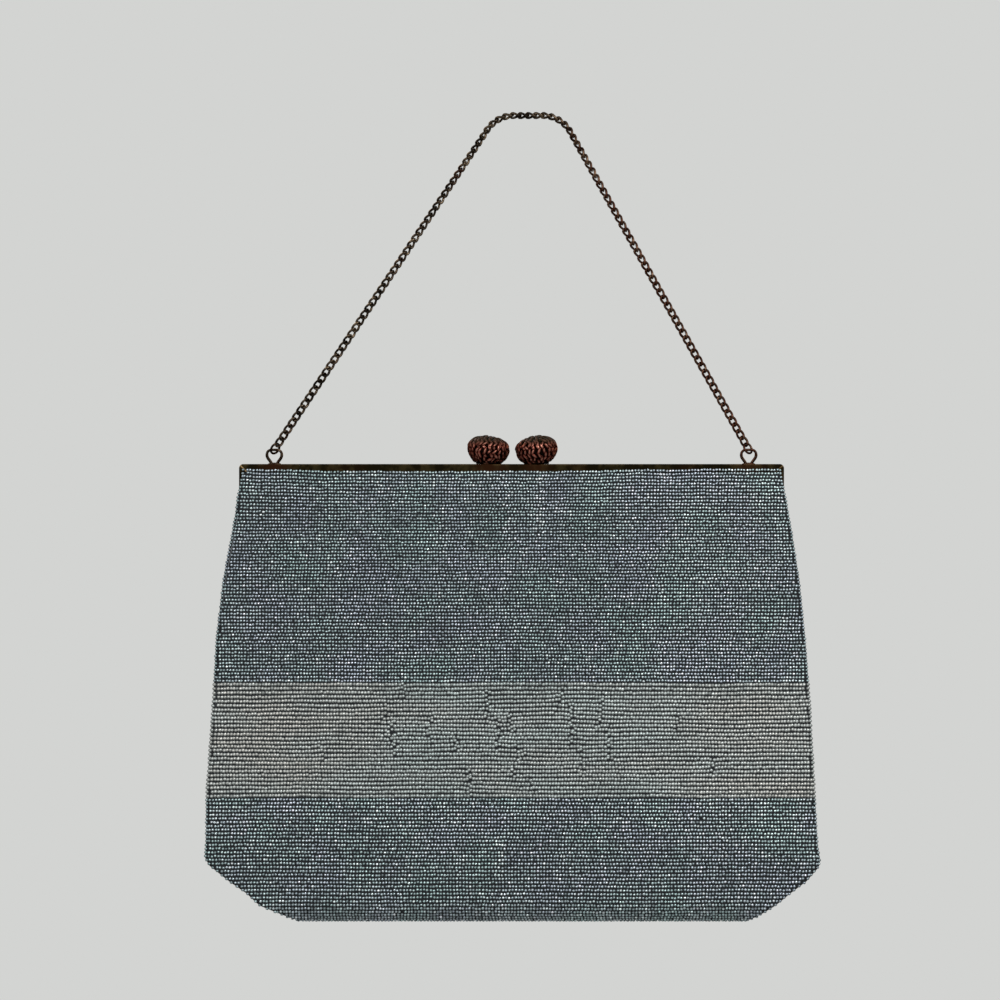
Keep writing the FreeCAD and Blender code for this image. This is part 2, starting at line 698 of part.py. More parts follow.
def make_upper_panel():
    """The top of the front wall, tucked into the front half's channel and full below its bar."""
    ear_z = ARM_END_Z + LUG_LAP + LUG_RELIEF
    tuck = across([(-TUCK_OUT, TUCK_TOP_Z), (-TUCK_IN, TUCK_TOP_Z), (-TUCK_IN, FOLD_TOP_Z),
                   (-TUCK_OUT, FOLD_TOP_Z)], CLOTH_HALF_AT_HINGE)
    ears = across([(-TUCK_OUT, TUCK_TOP_Z), (-TUCK_IN, TUCK_TOP_Z), (-TUCK_IN, ear_z), (-TUCK_OUT, ear_z)],
                  CLOTH_HALF_IN_ARM)
    inside_arms = HALF_WIDTH - ARM_WIDTH
    corners = [edge for edge in ears.Edges
               if abs(edge.CenterOfMass.z - TUCK_TOP_Z) < TINY and abs(edge.CenterOfMass.x) > inside_arms]
    ears = ears.makeFillet(CORNER_RADIUS, corners)
    swell = across([(-TUCK_OUT, BULGE_TOP_Z), (-BULGE_OUT, BULGE_TOP_Z - BULGE), (-BULGE_OUT, FOLD_TOP_Z),
                    (-BULGE_IN, FOLD_TOP_Z), (-BULGE_IN, BULGE_TOP_Z)], CLOTH_HALF_BETWEEN_ARMS)
    return solid_of(tuck.fuse([ears, swell]))


def make_rear_panel():
    """The beaded rear wall in one piece, from the rear half's channel to the base."""
    return solid_of(to_rear(make_upper_panel().fuse([make_fold(0), make_lower_panel()])))


def make_packing_cord():
    """The cord that wedges the cloth in the front half's channel."""
    half = CLOTH_HALF_IN_ARM - CORD_END_GAP - CORNER_RADIUS
    y = -(TUCK_IN + HALF_INNER + FRAME_WALL) / 2
    return Part.makeCylinder(CORD_RADIUS, 2 * half, Vector(-half, y, -CORD_DROP), Vector(1, 0, 0))


def gusset_fold(z):
    """How far the gusset's pleat is pushed in at a height."""
    share = (INSIDE_TOP_Z - z) / (INSIDE_TOP_Z - TIP_Z)
    return GUSSET_FOLD_TOP + (GUSSET_FOLD_FOOT - GUSSET_FOLD_TOP) * share


def gusset_section(z):
    """A V-shaped section of the right gusset, a little wider than the room between the walls."""
    edge = side_width(z) - GUSSET_INSET
    fold = gusset_fold(z)
    depth = wall_depth(PANEL_THICKNESS, z) * GUSSET_SPILL
    flare = edge + fold * (GUSSET_SPILL - 1)
    points = [Vector(flare, -depth, z), Vector(edge - fold, 0, z), Vector(flare, depth, z)]
    inner = [point.sub(Vector(GUSSET_THICKNESS, 0, 0)) for point in reversed(points)]
    run = points + inner
    return Part.makePolygon(run + run[:1])


def make_gusset(side):
    """A pleated side strip between the walls, from the mouth to the tip of the side seam."""
    top, foot = INSIDE_TOP_Z, TIP_Z + PANEL_GAP
    heights = [top + (foot - top) * step / (GUSSET_SECTIONS - 1) for step in range(GUSSET_SECTIONS)]
    pleat = Part.makeLoft([gusset_section(z) for z in heights], True, True)
    room = inner_room(PANEL_THICKNESS + PANEL_GAP, FOLD_FOOT_Z, BASE_Z)
    gusset = solid_of(pleat.common(room))
    return gusset if side > 0 else to_left(gusset)


def make_base_strip():
    """The strip that closes the base and the clipped corners between the walls."""
    room = inner_room(PANEL_THICKNESS + PANEL_GAP, TIP_Z, BASE_Z)
    outline = outline_face(0)
    inside = Part.Face(outline.OuterWire.makeOffset2D(-BASE_THICKNESS))
    band = through(outline_face(OVERRUN), BAG_DEPTH).cut(through(inside, BAG_DEPTH))
    return solid_of(room.common(band))


def lining_plan(inset):
    """The lining's shape from the front: inside the base strip and clear of the pleats."""
    taken = GUSSET_INSET + GUSSET_THICKNESS + LINING_SIDE_GAP + inset
    top_x = side_width(INSIDE_TOP_Z) - GUSSET_FOLD_TOP - taken
    foot_x = side_width(TIP_Z) - GUSSET_FOLD_FOOT - taken
    right = [Vector(top_x, 0, INSIDE_TOP_Z), Vector(foot_x, 0, TIP_Z), Vector(foot_x, 0, BASE_Z)]
    left = [Vector(-point.x, 0, point.z) for point in reversed(right)]
    outline = outline_face(OVERRUN).OuterWire.makeOffset2D(-BASE_THICKNESS - LINING_FLOOR_GAP - inset)
    return through(polygon_face(right + left), BAG_DEPTH).common(through(Part.Face(outline), BAG_DEPTH))


def make_card():
    """The stiffening card behind the front wall's cloth."""
    outer = PANEL_THICKNESS + PANEL_GAP
    layer = wall_layer(outer, outer + CARD_THICKNESS, INSIDE_TOP_Z)
    above_curl = Part.makeBox(2 * FRAME_WIDTH, BAG_DEPTH, INSIDE_TOP_Z - BELLY_Z,
                              Vector(-FRAME_WIDTH, -BAG_DEPTH, BELLY_Z))
    return solid_of(layer.common(lining_plan(0)).common(above_curl))


def lining_room(offset, inset):
    """The room inside the lining's outer or inner face."""
    floor_z = BASE_Z + BASE_THICKNESS + LINING_FLOOR_GAP + inset
    return inner_room(offset, INSIDE_TOP_Z, floor_z).common(lining_plan(inset))


def make_lining():
    """The cloth pouch inside the bag, open at the mouth."""
    outer = PANEL_THICKNESS + CARD_THICKNESS + 2 * PANEL_GAP
    pouch = lining_room(outer, 0)
    hollow = lining_room(outer + LINING_THICKNESS, LINING_THICKNESS)
    mouth = hollow.copy()
    mouth.translate(Vector(0, 0, LINING_THICKNESS / 2))
    return solid_of(pouch.cut(hollow.fuse(mouth)))


# Assembly

def all_pieces():
    """Every piece of the purse, by name, in the bag's own place."""
    pieces = {
        "rear_frame": make_rear_frame(),
        "front_frame": make_front_frame(),
        "left_hinge_rivet": make_rivet(-1),
        "right_hinge_rivet": make_rivet(1),
        "front_knob": make_knob(-1),
        "front_knob_post": make_post(-1),
        "rear_knob": make_knob(1),
        "rear_knob_post": make_post(1),
        "left_chain_eye": make_eye(-1),
        "right_chain_eye": make_eye(1),
        "left_jump_ring": make_ring(-1),
        "right_jump_ring": make_ring(1),
        "front_panel": make_lower_panel(),
        "front_panel_fold": make_fold(FOLD_GAP),
        "front_panel_upper": make_upper_panel(),
        "rear_panel": make_rear_panel(),
        "front_packing_cord": make_packing_cord(),
        "rear_packing_cord": to_rear(make_packing_cord()),
        "left_gusset": make_gusset(-1),
        "right_gusset": make_gusset(1),
        "base_strip": make_base_strip(),
        "front_card": make_card(),
        "rear_card": to_rear(make_card()),
        "lining": make_lining(),
    }
    pieces.update(make_chain())
    return pieces


def main():
    """Build the pieces, move the origin under the top of the chain and write them out."""
    under_chain = LINK_HALF_WIDTH + LINK_WIRE / 2
    origin = Vector(HOLD_OFFSET, 0, HANDLE_RISE - under_chain)
    for name, shape in all_pieces().items():
        shape.translate(origin.negative())
        shape.exportStep("parts/%s.step" % name)
        print("%s: %d solids, valid %s, volume %.1f" % (name, len(shape.Solids), shape.isValid(), shape.Volume))


main()
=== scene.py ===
import logging
import math
import random
from dataclasses import dataclass
from enum import Enum
from functools import reduce
from typing import Any, Callable, Iterator, Optional

import bmesh
import bpy
import numpy as np
from mathutils import Matrix, Vector, noise


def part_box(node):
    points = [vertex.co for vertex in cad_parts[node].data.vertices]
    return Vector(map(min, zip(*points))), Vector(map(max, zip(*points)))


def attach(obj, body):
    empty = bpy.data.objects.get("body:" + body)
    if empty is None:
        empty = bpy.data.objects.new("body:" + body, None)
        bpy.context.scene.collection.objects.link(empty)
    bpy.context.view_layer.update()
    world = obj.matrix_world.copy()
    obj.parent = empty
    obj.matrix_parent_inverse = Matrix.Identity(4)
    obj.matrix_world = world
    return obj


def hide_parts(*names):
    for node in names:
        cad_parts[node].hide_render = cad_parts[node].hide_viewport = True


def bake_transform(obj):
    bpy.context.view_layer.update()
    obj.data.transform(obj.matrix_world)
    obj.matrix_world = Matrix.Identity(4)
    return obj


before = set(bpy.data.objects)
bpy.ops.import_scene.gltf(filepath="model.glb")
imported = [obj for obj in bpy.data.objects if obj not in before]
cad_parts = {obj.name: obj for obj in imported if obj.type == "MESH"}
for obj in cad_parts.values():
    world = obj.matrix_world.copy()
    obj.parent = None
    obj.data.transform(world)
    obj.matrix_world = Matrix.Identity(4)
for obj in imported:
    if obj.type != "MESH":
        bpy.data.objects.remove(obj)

# A beaded evening purse on a hinged brass frame. Shapes are drawn in bag millimetres, X across,
# Y from front to back, Z up from the middle of the frame's top, and moved to the row frame at the end.

log = logging.getLogger("purse")

Colour = tuple[float, float, float]
Place = tuple[float, float, float]
Stations = tuple[tuple[float, float], ...]
Stops = list[tuple[float, Colour]]
Placing = Callable[[float, float], Vector]
Runs = list[tuple[float, float]]

SHIFT = Vector((6.5, 0.0, 128.49))
MILLIMETRE = 0.001
TO_ROW = Matrix.Scale(MILLIMETRE, 4) @ Matrix.Translation(-SHIFT)
MERGE_DISTANCE = 1e-4
TURN_STEPS = 32
MAP_MARGIN = 0.002


class Side(Enum):
    """The two walls of the bag, with the sign of their Y."""
    FRONT = -1
    REAR = 1


class Slot(Enum):
    """The record's material slots."""
    KNOB = "knob_copper"
    CHAIN = "chain_brass"
    BEADS = "steel_beads"
    CLOTH = "gusset_cloth"
    LINING = "lining_satin"
    CARD = "stiffening"


WALL_SEEDS = {Side.FRONT: 11, Side.REAR: 23}


# Small helpers

def clamp(value: float) -> float:
    """A value held between 0 and 1."""
    return min(1.0, max(0.0, value))


def smooth_step(low: float, high: float, value: float) -> float:
    """A smooth rise from 0 at low to 1 at high.

    Args:
        low: where the rise starts.
        high: where it ends.
        value: where it is read.

    Returns:
        The height of the rise, from 0 to 1.
    """
    part = clamp((value - low) / (high - low))
    return part * part * (3 - 2 * part)


def along_stations(stations: Stations, at: float) -> float:
    """Reads a line through (place, value) stations.

    Args:
        stations: pairs in rising order of place.
        at: the place to read.

    Returns:
        The value there, level past both ends.
    """
    return float(np.interp(at, [pair[0] for pair in stations], [pair[1] for pair in stations]))


def wander(seed: float, x: float, y: float) -> float:
    """Gentle noise from about -1 to 1 that is the same in every run."""
    return noise.noise(Vector((x, y, 7.3 * seed)))


def set_apart(bm: bmesh.types.BMesh, name: str) -> bpy.types.Object:
    """Turns a bag-millimetre bmesh into a linked object in the row frame, shaded smooth.

    Args:
        bm: the shape, which is freed.
        name: the object's name.

    Returns:
        The new object, at the origin.
    """
    bmesh.ops.transform(bm, matrix=TO_ROW, verts=bm.verts[:])
    for face in bm.faces:
        face.smooth = True
    mesh = bpy.data.meshes.new(name)
    bm.to_mesh(mesh)
    bm.free()
    obj = bpy.data.objects.new(name, mesh)
    bpy.context.scene.collection.objects.link(obj)
    return obj


def cut_sheet(name: str, across: int, down: int, thickness: float, place: Placing) -> bpy.types.Object:
    """A sheet of cloth laid over a shape.

    Args:
        name: the sheet's name.
        across: columns of faces.
        down: rows of faces.
        thickness: the cloth's thickness.
        place: gives a bag place for a share across and a share down, both from 0 to 1.

    Returns:
        The sheet, closed all round.
    """
    bm = bmesh.new()
    bmesh.ops.create_grid(bm, x_segments=across, y_segments=down, size=1.0)
    reach = max(vert.co.x for vert in bm.verts)
    for vert in bm.verts:
        vert.co = place(0.5 + vert.co.x / (2 * reach), 0.5 - vert.co.y / (2 * reach))
    bmesh.ops.recalc_face_normals(bm, faces=bm.faces[:])
    bmesh.ops.solidify(bm, geom=bm.faces[:], thickness=thickness)
    return set_apart(bm, name)


def bend_wire(places: list[Place], swells: list[float], radius: float, rounds: int,
              closed: bool) -> bpy.types.Mesh:
    """Round wire bent along a line.

    Args:
        places: the line's points in millimetres.
        swells: how thick the wire is at each point, as a share of its radius.
        radius: the wire's radius.
        rounds: how finely its round is cut.
        closed: whether its ends are joined.

    Returns:
        The wire's mesh.
    """
    curve = bpy.data.curves.new("wire_line", "CURVE")
    curve.dimensions = "3D"
    curve.bevel_depth = radius
    curve.bevel_resolution = rounds
    curve.use_fill_caps = not closed
    spline = curve.splines.new("POLY")
    spline.points.add(len(places) - 1)
    for point, place, swell in zip(spline.points, places, swells):
        point.co = (*place, 1.0)
        point.radius = swell
    spline.use_cyclic_u = closed
    holder = bpy.data.objects.new("wire_line", curve)
    mesh = bpy.data.meshes.new_from_object(holder)
    bpy.data.objects.remove(holder)
    bpy.data.curves.remove(curve)
    return mesh


def turn_profile(bm: bmesh.types.BMesh, profile: list[Vector], middle: Vector) -> None:
    """Turns a profile once round an upright axis.

    Args:
        bm: the bmesh that it is added to.
        profile: the profile's points, with both ends on the axis.
        middle: a point on the axis.
    """
    held = set(bm.verts)
    verts = [bm.verts.new(point) for point in profile]
    edges = [bm.edges.new(pair) for pair in zip(verts[:-1], verts[1:])]
    bmesh.ops.spin(bm, geom=verts + edges, cent=middle, axis=(0, 0, 1), angle=2 * math.pi,
                   steps=TURN_STEPS, use_merge=True, use_duplicate=False)
    turned = [vert for vert in bm.verts if vert not in held]
    bmesh.ops.remove_doubles(bm, verts=turned, dist=MERGE_DISTANCE)


def lay_flat_map(obj: bpy.types.Object) -> None:
    """Gives a wall piece a straight-on map for its baked colours.

    Args:
        obj: the piece, whose X and Z become the map's U and V.
    """
    mesh = obj.data
    corners = np.empty(len(mesh.loops), dtype=np.int32)
    mesh.loops.foreach_get("vertex_index", corners)
    places = np.empty(3 * len(mesh.vertices), dtype=np.float32)
    mesh.vertices.foreach_get("co", places)
    flat = places.reshape(-1, 3)[:, [0, 2]]
    low, high = flat.min(axis=0), flat.max(axis=0)
    spread = MAP_MARGIN + (1 - 2 * MAP_MARGIN) * (flat - low) / (high - low)
    layer = mesh.uv_layers.new(name="OFBake")
    layer.data.foreach_set("uv", spread[corners].astype(np.float32).ravel())


def dress(obj: bpy.types.Object, material: bpy.types.Material, slot: Slot) -> None:
    """Puts a finish on a new piece and reports it.

    Args:
        obj: the piece.
        material: its finish.
        slot: not used.
    """
    obj.data.materials.clear()
    obj.data.materials.append(material)
    log.info("%s: %d faces", obj.name, len(obj.data.polygons))


# Shader building

class Reading:
    """A node's output, whose arithmetic adds Math nodes."""

    def __init__(self, net: "Net", source: bpy.types.NodeSocket) -> None:
        """Keeps the net and the socket."""
        self.net = net
        self.source = source

    def _join(self, operation: str, first: Any, second: Any = 0.0) -> "Reading":
        """A Math node on two values or readings."""
        return self.net.node("ShaderNodeMath", {"operation": operation}, {0: first, 1: second})

    def __add__(self, other: Any) -> "Reading":
        """Sum."""
        return self._join("ADD", self, other)

    def __radd__(self, other: Any) -> "Reading":
        """Sum, reflected."""
        return self._join("ADD", other, self)

    def __sub__(self, other: Any) -> "Reading":
        """Difference."""
        return self._join("SUBTRACT", self, other)

    def __rsub__(self, other: Any) -> "Reading":
        """Difference, reflected."""
        return self._join("SUBTRACT", other, self)

    def __mul__(self, other: Any) -> "Reading":
        """Product."""
        return self._join("MULTIPLY", self, other)

    def __rmul__(self, other: Any) -> "Reading":
        """Product, reflected."""
        return self._join("MULTIPLY", other, self)

    def __abs__(self) -> "Reading":
        """Size without sign."""
        return self._join("ABSOLUTE", self)

    def sine(self) -> "Reading":
        """Sine."""
        return self._join("SINE", self)

    def most(self, other: Any) -> "Reading":
        """The larger of two."""
        return self._join("MAXIMUM", self, other)

    def rise(self, low: float, high: float) -> "Reading":
        """A smooth step from 0 at low to 1 at high."""
        span = {"Value": self, "From Min": low, "From Max": high, "To Min": 0.0, "To Max": 1.0}
        return self.net.node("ShaderNodeMapRange", {"interpolation_type": "SMOOTHSTEP"}, span)

    def fall(self, low: float, high: float) -> "Reading":
        """A smooth step from 1 at low to 0 at high."""
        return 1.0 - self.rise(low, high)


class Net:
    """The node tree of a material or of the world."""

    def __init__(self, name: str, shelf: Optional[Any] = None) -> None:
        """Starts an empty tree.

        Args:
            name: the name of what the tree belongs to.
            shelf: the data that makes it, or the materials if none is given.
        """
        self.owner = (bpy.data.materials if shelf is None else shelf).new(name)
        self.owner.use_nodes = True
        self.tree = self.owner.node_tree
        self.tree.nodes.clear()

    def node(self, kind: str, settings: dict[str, Any], inputs: dict[Any, Any],
             output: Any = 0) -> Reading:
        """Adds any node.

        Args:
            kind: the node's type.
            settings: its properties, set first; "stops" are a ramp's places and colours.
            inputs: values or readings for its sockets, by name or number.
            output: the socket to read.

        Returns:
            A reading of that socket.
        """
        node = self.tree.nodes.new(kind)
        for key, value in settings.items():
            if key == "stops":
                self._set_stops(node.color_ramp, value)
            else:
                setattr(node, key, value)
        for key, value in inputs.items():
            if isinstance(value, Reading):
                self.tree.links.new(value.source, node.inputs[key])
            else:
                node.inputs[key].default_value = value
        return Reading(self, node.outputs[output])

    @staticmethod
    def _set_stops(ramp: bpy.types.ColorRamp, stops: Stops) -> None:
        """Places a ramp's stops.

        Args:
            ramp: the ramp.
            stops: places from 0 to 1 and their colours.
        """
        while len(ramp.elements) < len(stops):
            ramp.elements.new(1.0)
        for element, (place, colour) in zip(ramp.elements, stops):
            element.position = place
            element.color = (*colour, 1.0)

    def place(self) -> Reading:
        """The surface's Object coordinates."""
        return self.node("ShaderNodeTexCoord", {}, {}, "Object")

    def axes(self) -> tuple[Reading, Reading, Reading]:
        """X, Y and Z in bag millimetres.

        Returns:
            A reading of each.
        """
        moved = self.node("ShaderNodeVectorMath", {"operation": "MULTIPLY_ADD"},
                          {0: self.place(), 1: (1 / MILLIMETRE,) * 3, 2: SHIFT})
        split = self.tree.nodes.new("ShaderNodeSeparateXYZ")
        self.tree.links.new(moved.source, split.inputs[0])
        return tuple(Reading(self, socket) for socket in split.outputs)

    def attribute(self, name: str) -> Reading:
        """A number kept on the mesh."""
        return self.node("ShaderNodeAttribute", {"attribute_name": name}, {}, "Fac")

    def cloud(self, scale: float, detail: float = 2.0, vector: Optional[Reading] = None) -> Reading:
        """Noise from 0 to 1 on the object's coordinates, or on a given vector."""
        return self.node("ShaderNodeTexNoise", {}, {"Vector": vector or self.place(), "Scale": scale,
                                                    "Detail": detail})

    def ramp(self, value: Reading, stops: Stops) -> Reading:
        """A colour read from a ramp."""
        return self.node("ShaderNodeValToRGB", {"stops": stops}, {"Fac": value})

    def mix(self, share: Any, first: Any, second: Any, how: str = "MIX") -> Reading:
        """A colour mixed from two.

        Args:
            share: how much of the second colour is in it, from 0 to 1.
            first: the first colour, or a reading of it.
            second: the second one.
            how: the way they are mixed.

        Returns:
            The mixed colour.
        """
        colours = [value if isinstance(value, Reading) else (*value, 1.0) for value in (first, second)]
        return self.node("ShaderNodeMix", {"data_type": "RGBA", "blend_type": how},
                         {0: share, 6: colours[0], 7: colours[1]}, 2)

    def bump(self, height: Reading, strength: float, distance: float) -> Reading:
        """A normal bent by a height."""
        return self.node("ShaderNodeBump", {},
                         {"Strength": strength, "Distance": distance, "Height": height})

    def surface(self, inputs: dict[str, Any]) -> bpy.types.Material:
        """Ends the net in a principled shader.

        Args:
            inputs: values or readings for the shader's sockets.

        Returns:
            The finished material.
        """
        return self.end("ShaderNodeOutputMaterial", self.node("ShaderNodeBsdfPrincipled", {}, inputs))

    def end(self, kind: str, shader: Reading) -> Any:
        """Ends the net in an output node.

        Args:
            kind: the output node's type.
            shader: what it shows.

        Returns:
            The material or the world.
        """
        last = self.tree.nodes.new(kind)
        self.tree.links.new(shader.source, last.inputs["Surface"])
        return self.owner


# Finishes

@dataclass(frozen=True)
class BeadFinish:
    """Cut steel beads: each has its own brightness and a faint tint, with painted shade round its rim
    where it sinks between its neighbours.
    """
    name: str
    dark: Colour
    middle: Colour
    bright: Colour
    cool: Colour
    plain: Colour
    warm: Colour
    # The colour of the painted shade round each bead's rim.
    rim: Colour
    rim_shade_reach: tuple[float, float]
    roughness: float
    dulling: Colour = (0.05, 0.055, 0.055)

    def make(self) -> bpy.types.Material:
        """Builds the material.

        Returns:
            The finished material.
        """
        net = Net(self.name)
        grey = net.ramp(net.attribute("tint"), [(0.0, self.dark), (0.5, self.middle), (1.0, self.bright)])
        cast = net.ramp(net.attribute("cast"), [(0.0, self.cool), (0.5, self.plain), (1.0, self.warm)])
        dulling = net.cloud(2600.0).rise(0.35, 0.7)
        # Low crest shares take the rim colour: painted shade on each bead's sides, between the beads.
        crest = net.attribute("crest").rise(*self.rim_shade_reach)
        colour = net.mix(1.0, grey, cast, "MULTIPLY")
        colour = net.mix(dulling * 0.2, colour, self.dulling)
        colour = net.mix(crest, self.rim, colour)
        return net.surface({"Base Color": colour, "Metallic": 0.1 + 0.8 * crest,
                            "Roughness": self.roughness + 0.15 * dulling + 0.35 * (1.0 - crest),
                            "Specular IOR Level": 0.15})


@dataclass(frozen=True)
class ClothFinish:
    """Woven cloth with a thread pattern along two axes of the piece."""
    name: str
    light: Colour
    dark: Colour
    thread: float
    roughness: float
    gloss: float
    sheen: float
    upright: bool

    def make(self) -> bpy.types.Material:
        """Builds the material.

        Returns:
            The finished material.
        """
        net = Net(self.name)
        x, y, z = net.axes()
        run = y if self.upright else x
        turn = 2 * math.pi / self.thread
        warp = (run * turn).sine()
        weft = (z * turn).sine()
        weave = 0.5 + 0.25 * (warp + weft)
        patch = net.cloud(90.0, 4.0)
        colour = net.mix(weave * 0.6 + patch * 0.4, self.dark, self.light)
        return net.surface({"Base Color": colour, "Roughness": self.roughness + 0.15 * patch,
                            "Specular IOR Level": self.gloss, "Sheen Weight": self.sheen,
                            "Normal": net.bump(weave, 0.5, 0.0001)})


@dataclass(frozen=True)
class SatinFinish:
    """Smooth lining with fine ribs, soft creases with painted shade in their hollows and painted sheen on
    their crests, and old stains.
    """
    name: str
    light: Colour
    dark: Colour
    stain: Colour = (0.33, 0.28, 0.2)
    rib: float = 0.45

    def make(self) -> bpy.types.Material:
        """Builds the material.

        Returns:
            The finished material.
        """
        net = Net(self.name)
        rib = 0.5 + 0.5 * (net.axes()[2] * (2 * math.pi / self.rib)).sine()
        crease_and_shade = net.cloud(60.0, 5.0)
        stain = net.cloud(14.0, 3.0).rise(0.45, 0.75)
        # The creases' height also paints the colour: painted shade in their hollows, painted sheen on
        # their crests.
        colour = net.mix(crease_and_shade * 0.7 + rib * 0.3, self.dark, self.light)
        colour = net.mix(stain * 0.3, colour, self.stain)
        return net.surface({"Base Color": colour, "Roughness": 0.32 + 0.2 * crease_and_shade, "Sheen Weight": 0.3,
                            "Normal": net.bump(crease_and_shade * 0.8 + rib * 0.1, 0.4, 0.0006)})


@dataclass(frozen=True)
class MetalFinish:
    """Old plated metal: patina, worn patches and fine scratches."""
    name: str
    patina: Colour
    worn: Colour
    copper: Colour
    copper_share: float
    roughness: float
    right_copper: float = 0.0
    gleam: Colour = (0.45, 0.4, 0.34)

    def start(self) -> tuple[Net, Reading, Reading]:
        """Starts the net, with its colour and its wear.

        Returns:
            The net, the colour and the wear.
        """
        net = Net(self.name)
        wear = net.cloud(330.0, 6.0).rise(0.42, 0.72)
        blush = net.cloud(70.0, 3.0).rise(0.5, 0.75)
        share = blush * self.copper_share + net.axes()[0].rise(8.0, 40.0) * self.right_copper
        colour = net.mix(wear, self.patina, self.worn)
        colour = net.mix(share, colour, self.copper)
        return net, colour, wear

    def finish(self, net: Net, colour: Reading, wear: Reading) -> bpy.types.Material:
        """Ends the net with scratches and a shader.

        Args:
            net: the net.
            colour: the metal's colour.
            wear: how worn it is, from 0 to 1.

        Returns:
            The finished material.
        """
        x, y, z = net.axes()
        stretched = net.node("ShaderNodeCombineXYZ", {}, {0: x * 0.15, 1: y * 2.0, 2: z * 2.0})
        scratch = net.cloud(1.6, 3.0, stretched)
        rough = self.roughness + 0.16 * scratch - 0.1 * wear
        return net.surface({"Base Color": colour, "Metallic": 0.95, "Roughness": rough,
                            "Specular Tint": (*self.gleam, 1.0),
                            "Normal": net.bump(scratch, 0.12, 0.0001)})

    def make(self) -> bpy.types.Material:
        """Builds the material."""
        return self.finish(*self.start())


@dataclass(frozen=True)
class FrameFinish(MetalFinish):
    """The frame's metal: worn edges, painted highlights along the joins of its mitred corners and on its
    side ends, copper by the knobs and eyes.
    """
    # The colour of the worn rims and of the painted highlights.
    edge: Colour = (0.3, 0.21, 0.1)
    half_width: float = 101.5
    half_depth: float = 4.4
    bar_height: float = 2.8
    knob_and_eye_places: tuple[float, ...] = (-8.6, 9.3, -88.5, 88.5)
    blush_reach: float = 9.0
    top_mitre_highlight: float = 0.3
    right_mitre_highlight: float = 0.3

    def make(self) -> bpy.types.Material:
        """Builds the material.

        Returns:
            The finished material.
        """
        net, colour, wear = self.start()
        x, y, z = net.axes()
        near = [abs(x - place).fall(0.0, self.blush_reach) for place in self.knob_and_eye_places]
        colour = net.mix(reduce(Reading.most, near) * 0.45, colour, self.copper)
        # Painted highlights: a bright line along each mitred corner's join, fainter on the top faces and
        # on the right, and a bright strip on the side ends that is half painted highlight and half kept
        # to worn spots; the rims along the faces' top edges are worn.
        corner = abs(x) - self.half_width
        mitre_highlight = abs(corner - z).fall(0.1, 0.42) * z.rise(-self.bar_height - 0.4, -self.bar_height)
        face = abs(y).rise(self.half_depth - 0.3, self.half_depth - 0.1)
        mitre_highlight = mitre_highlight * (self.top_mitre_highlight + (1 - self.top_mitre_highlight) * face)
        mitre_highlight = mitre_highlight * (1.0 - (1 - self.right_mitre_highlight) * x.rise(-20.0, 20.0))
        side = abs(x).rise(self.half_width - 0.75, self.half_width - 0.2) * z.fall(-0.5, -1.6)
        rim = abs(abs(y) - self.half_depth).fall(0.05, 0.4) * z.rise(-0.6, -0.1)
        bright = mitre_highlight.most(side * (0.5 + 0.5 * wear)).most(rim * 0.2 * wear)
        colour = net.mix(bright, colour, self.edge)
        return self.finish(net, colour, wear)


@dataclass(frozen=True)
class KnobFinish:
    """Copper-washed knobs, with painted shade in the hollows between their leaves and painted highlights
    on their crests, darker and duller towards the top.
    """
    name: str
    hollow: Colour
    body: Colour
    crest: Colour
    dulling: Colour
    dull_top_heights: tuple[float, float] = (6.6, 9.4)
    gleam: Colour = (0.4, 0.34, 0.3)

    def make(self) -> bpy.types.Material:
        """Builds the material.

        Returns:
            The finished material.
        """
        net = Net(self.name)
        wear = net.cloud(700.0, 4.0)
        # Leaf height sets the colour: painted shade in the hollows, painted highlights on the crests.
        shade = net.attribute("ridge") * 0.75 + wear * 0.25
        colour = net.ramp(shade, [(0.25, self.hollow), (0.68, self.body), (0.9, self.crest)])
        # Darker, rougher and less metallic towards the top.
        dulling = net.axes()[2].rise(*self.dull_top_heights)
        colour = net.mix(dulling * 0.8, colour, self.dulling)
        return net.surface({"Base Color": colour, "Metallic": 0.95 - 0.35 * dulling,
                            "Roughness": 0.24 + 0.2 * wear + 0.3 * dulling, "Specular IOR Level": 0.2,
                            "Specular Tint": (*self.gleam, 1.0)})


# The walls' common form

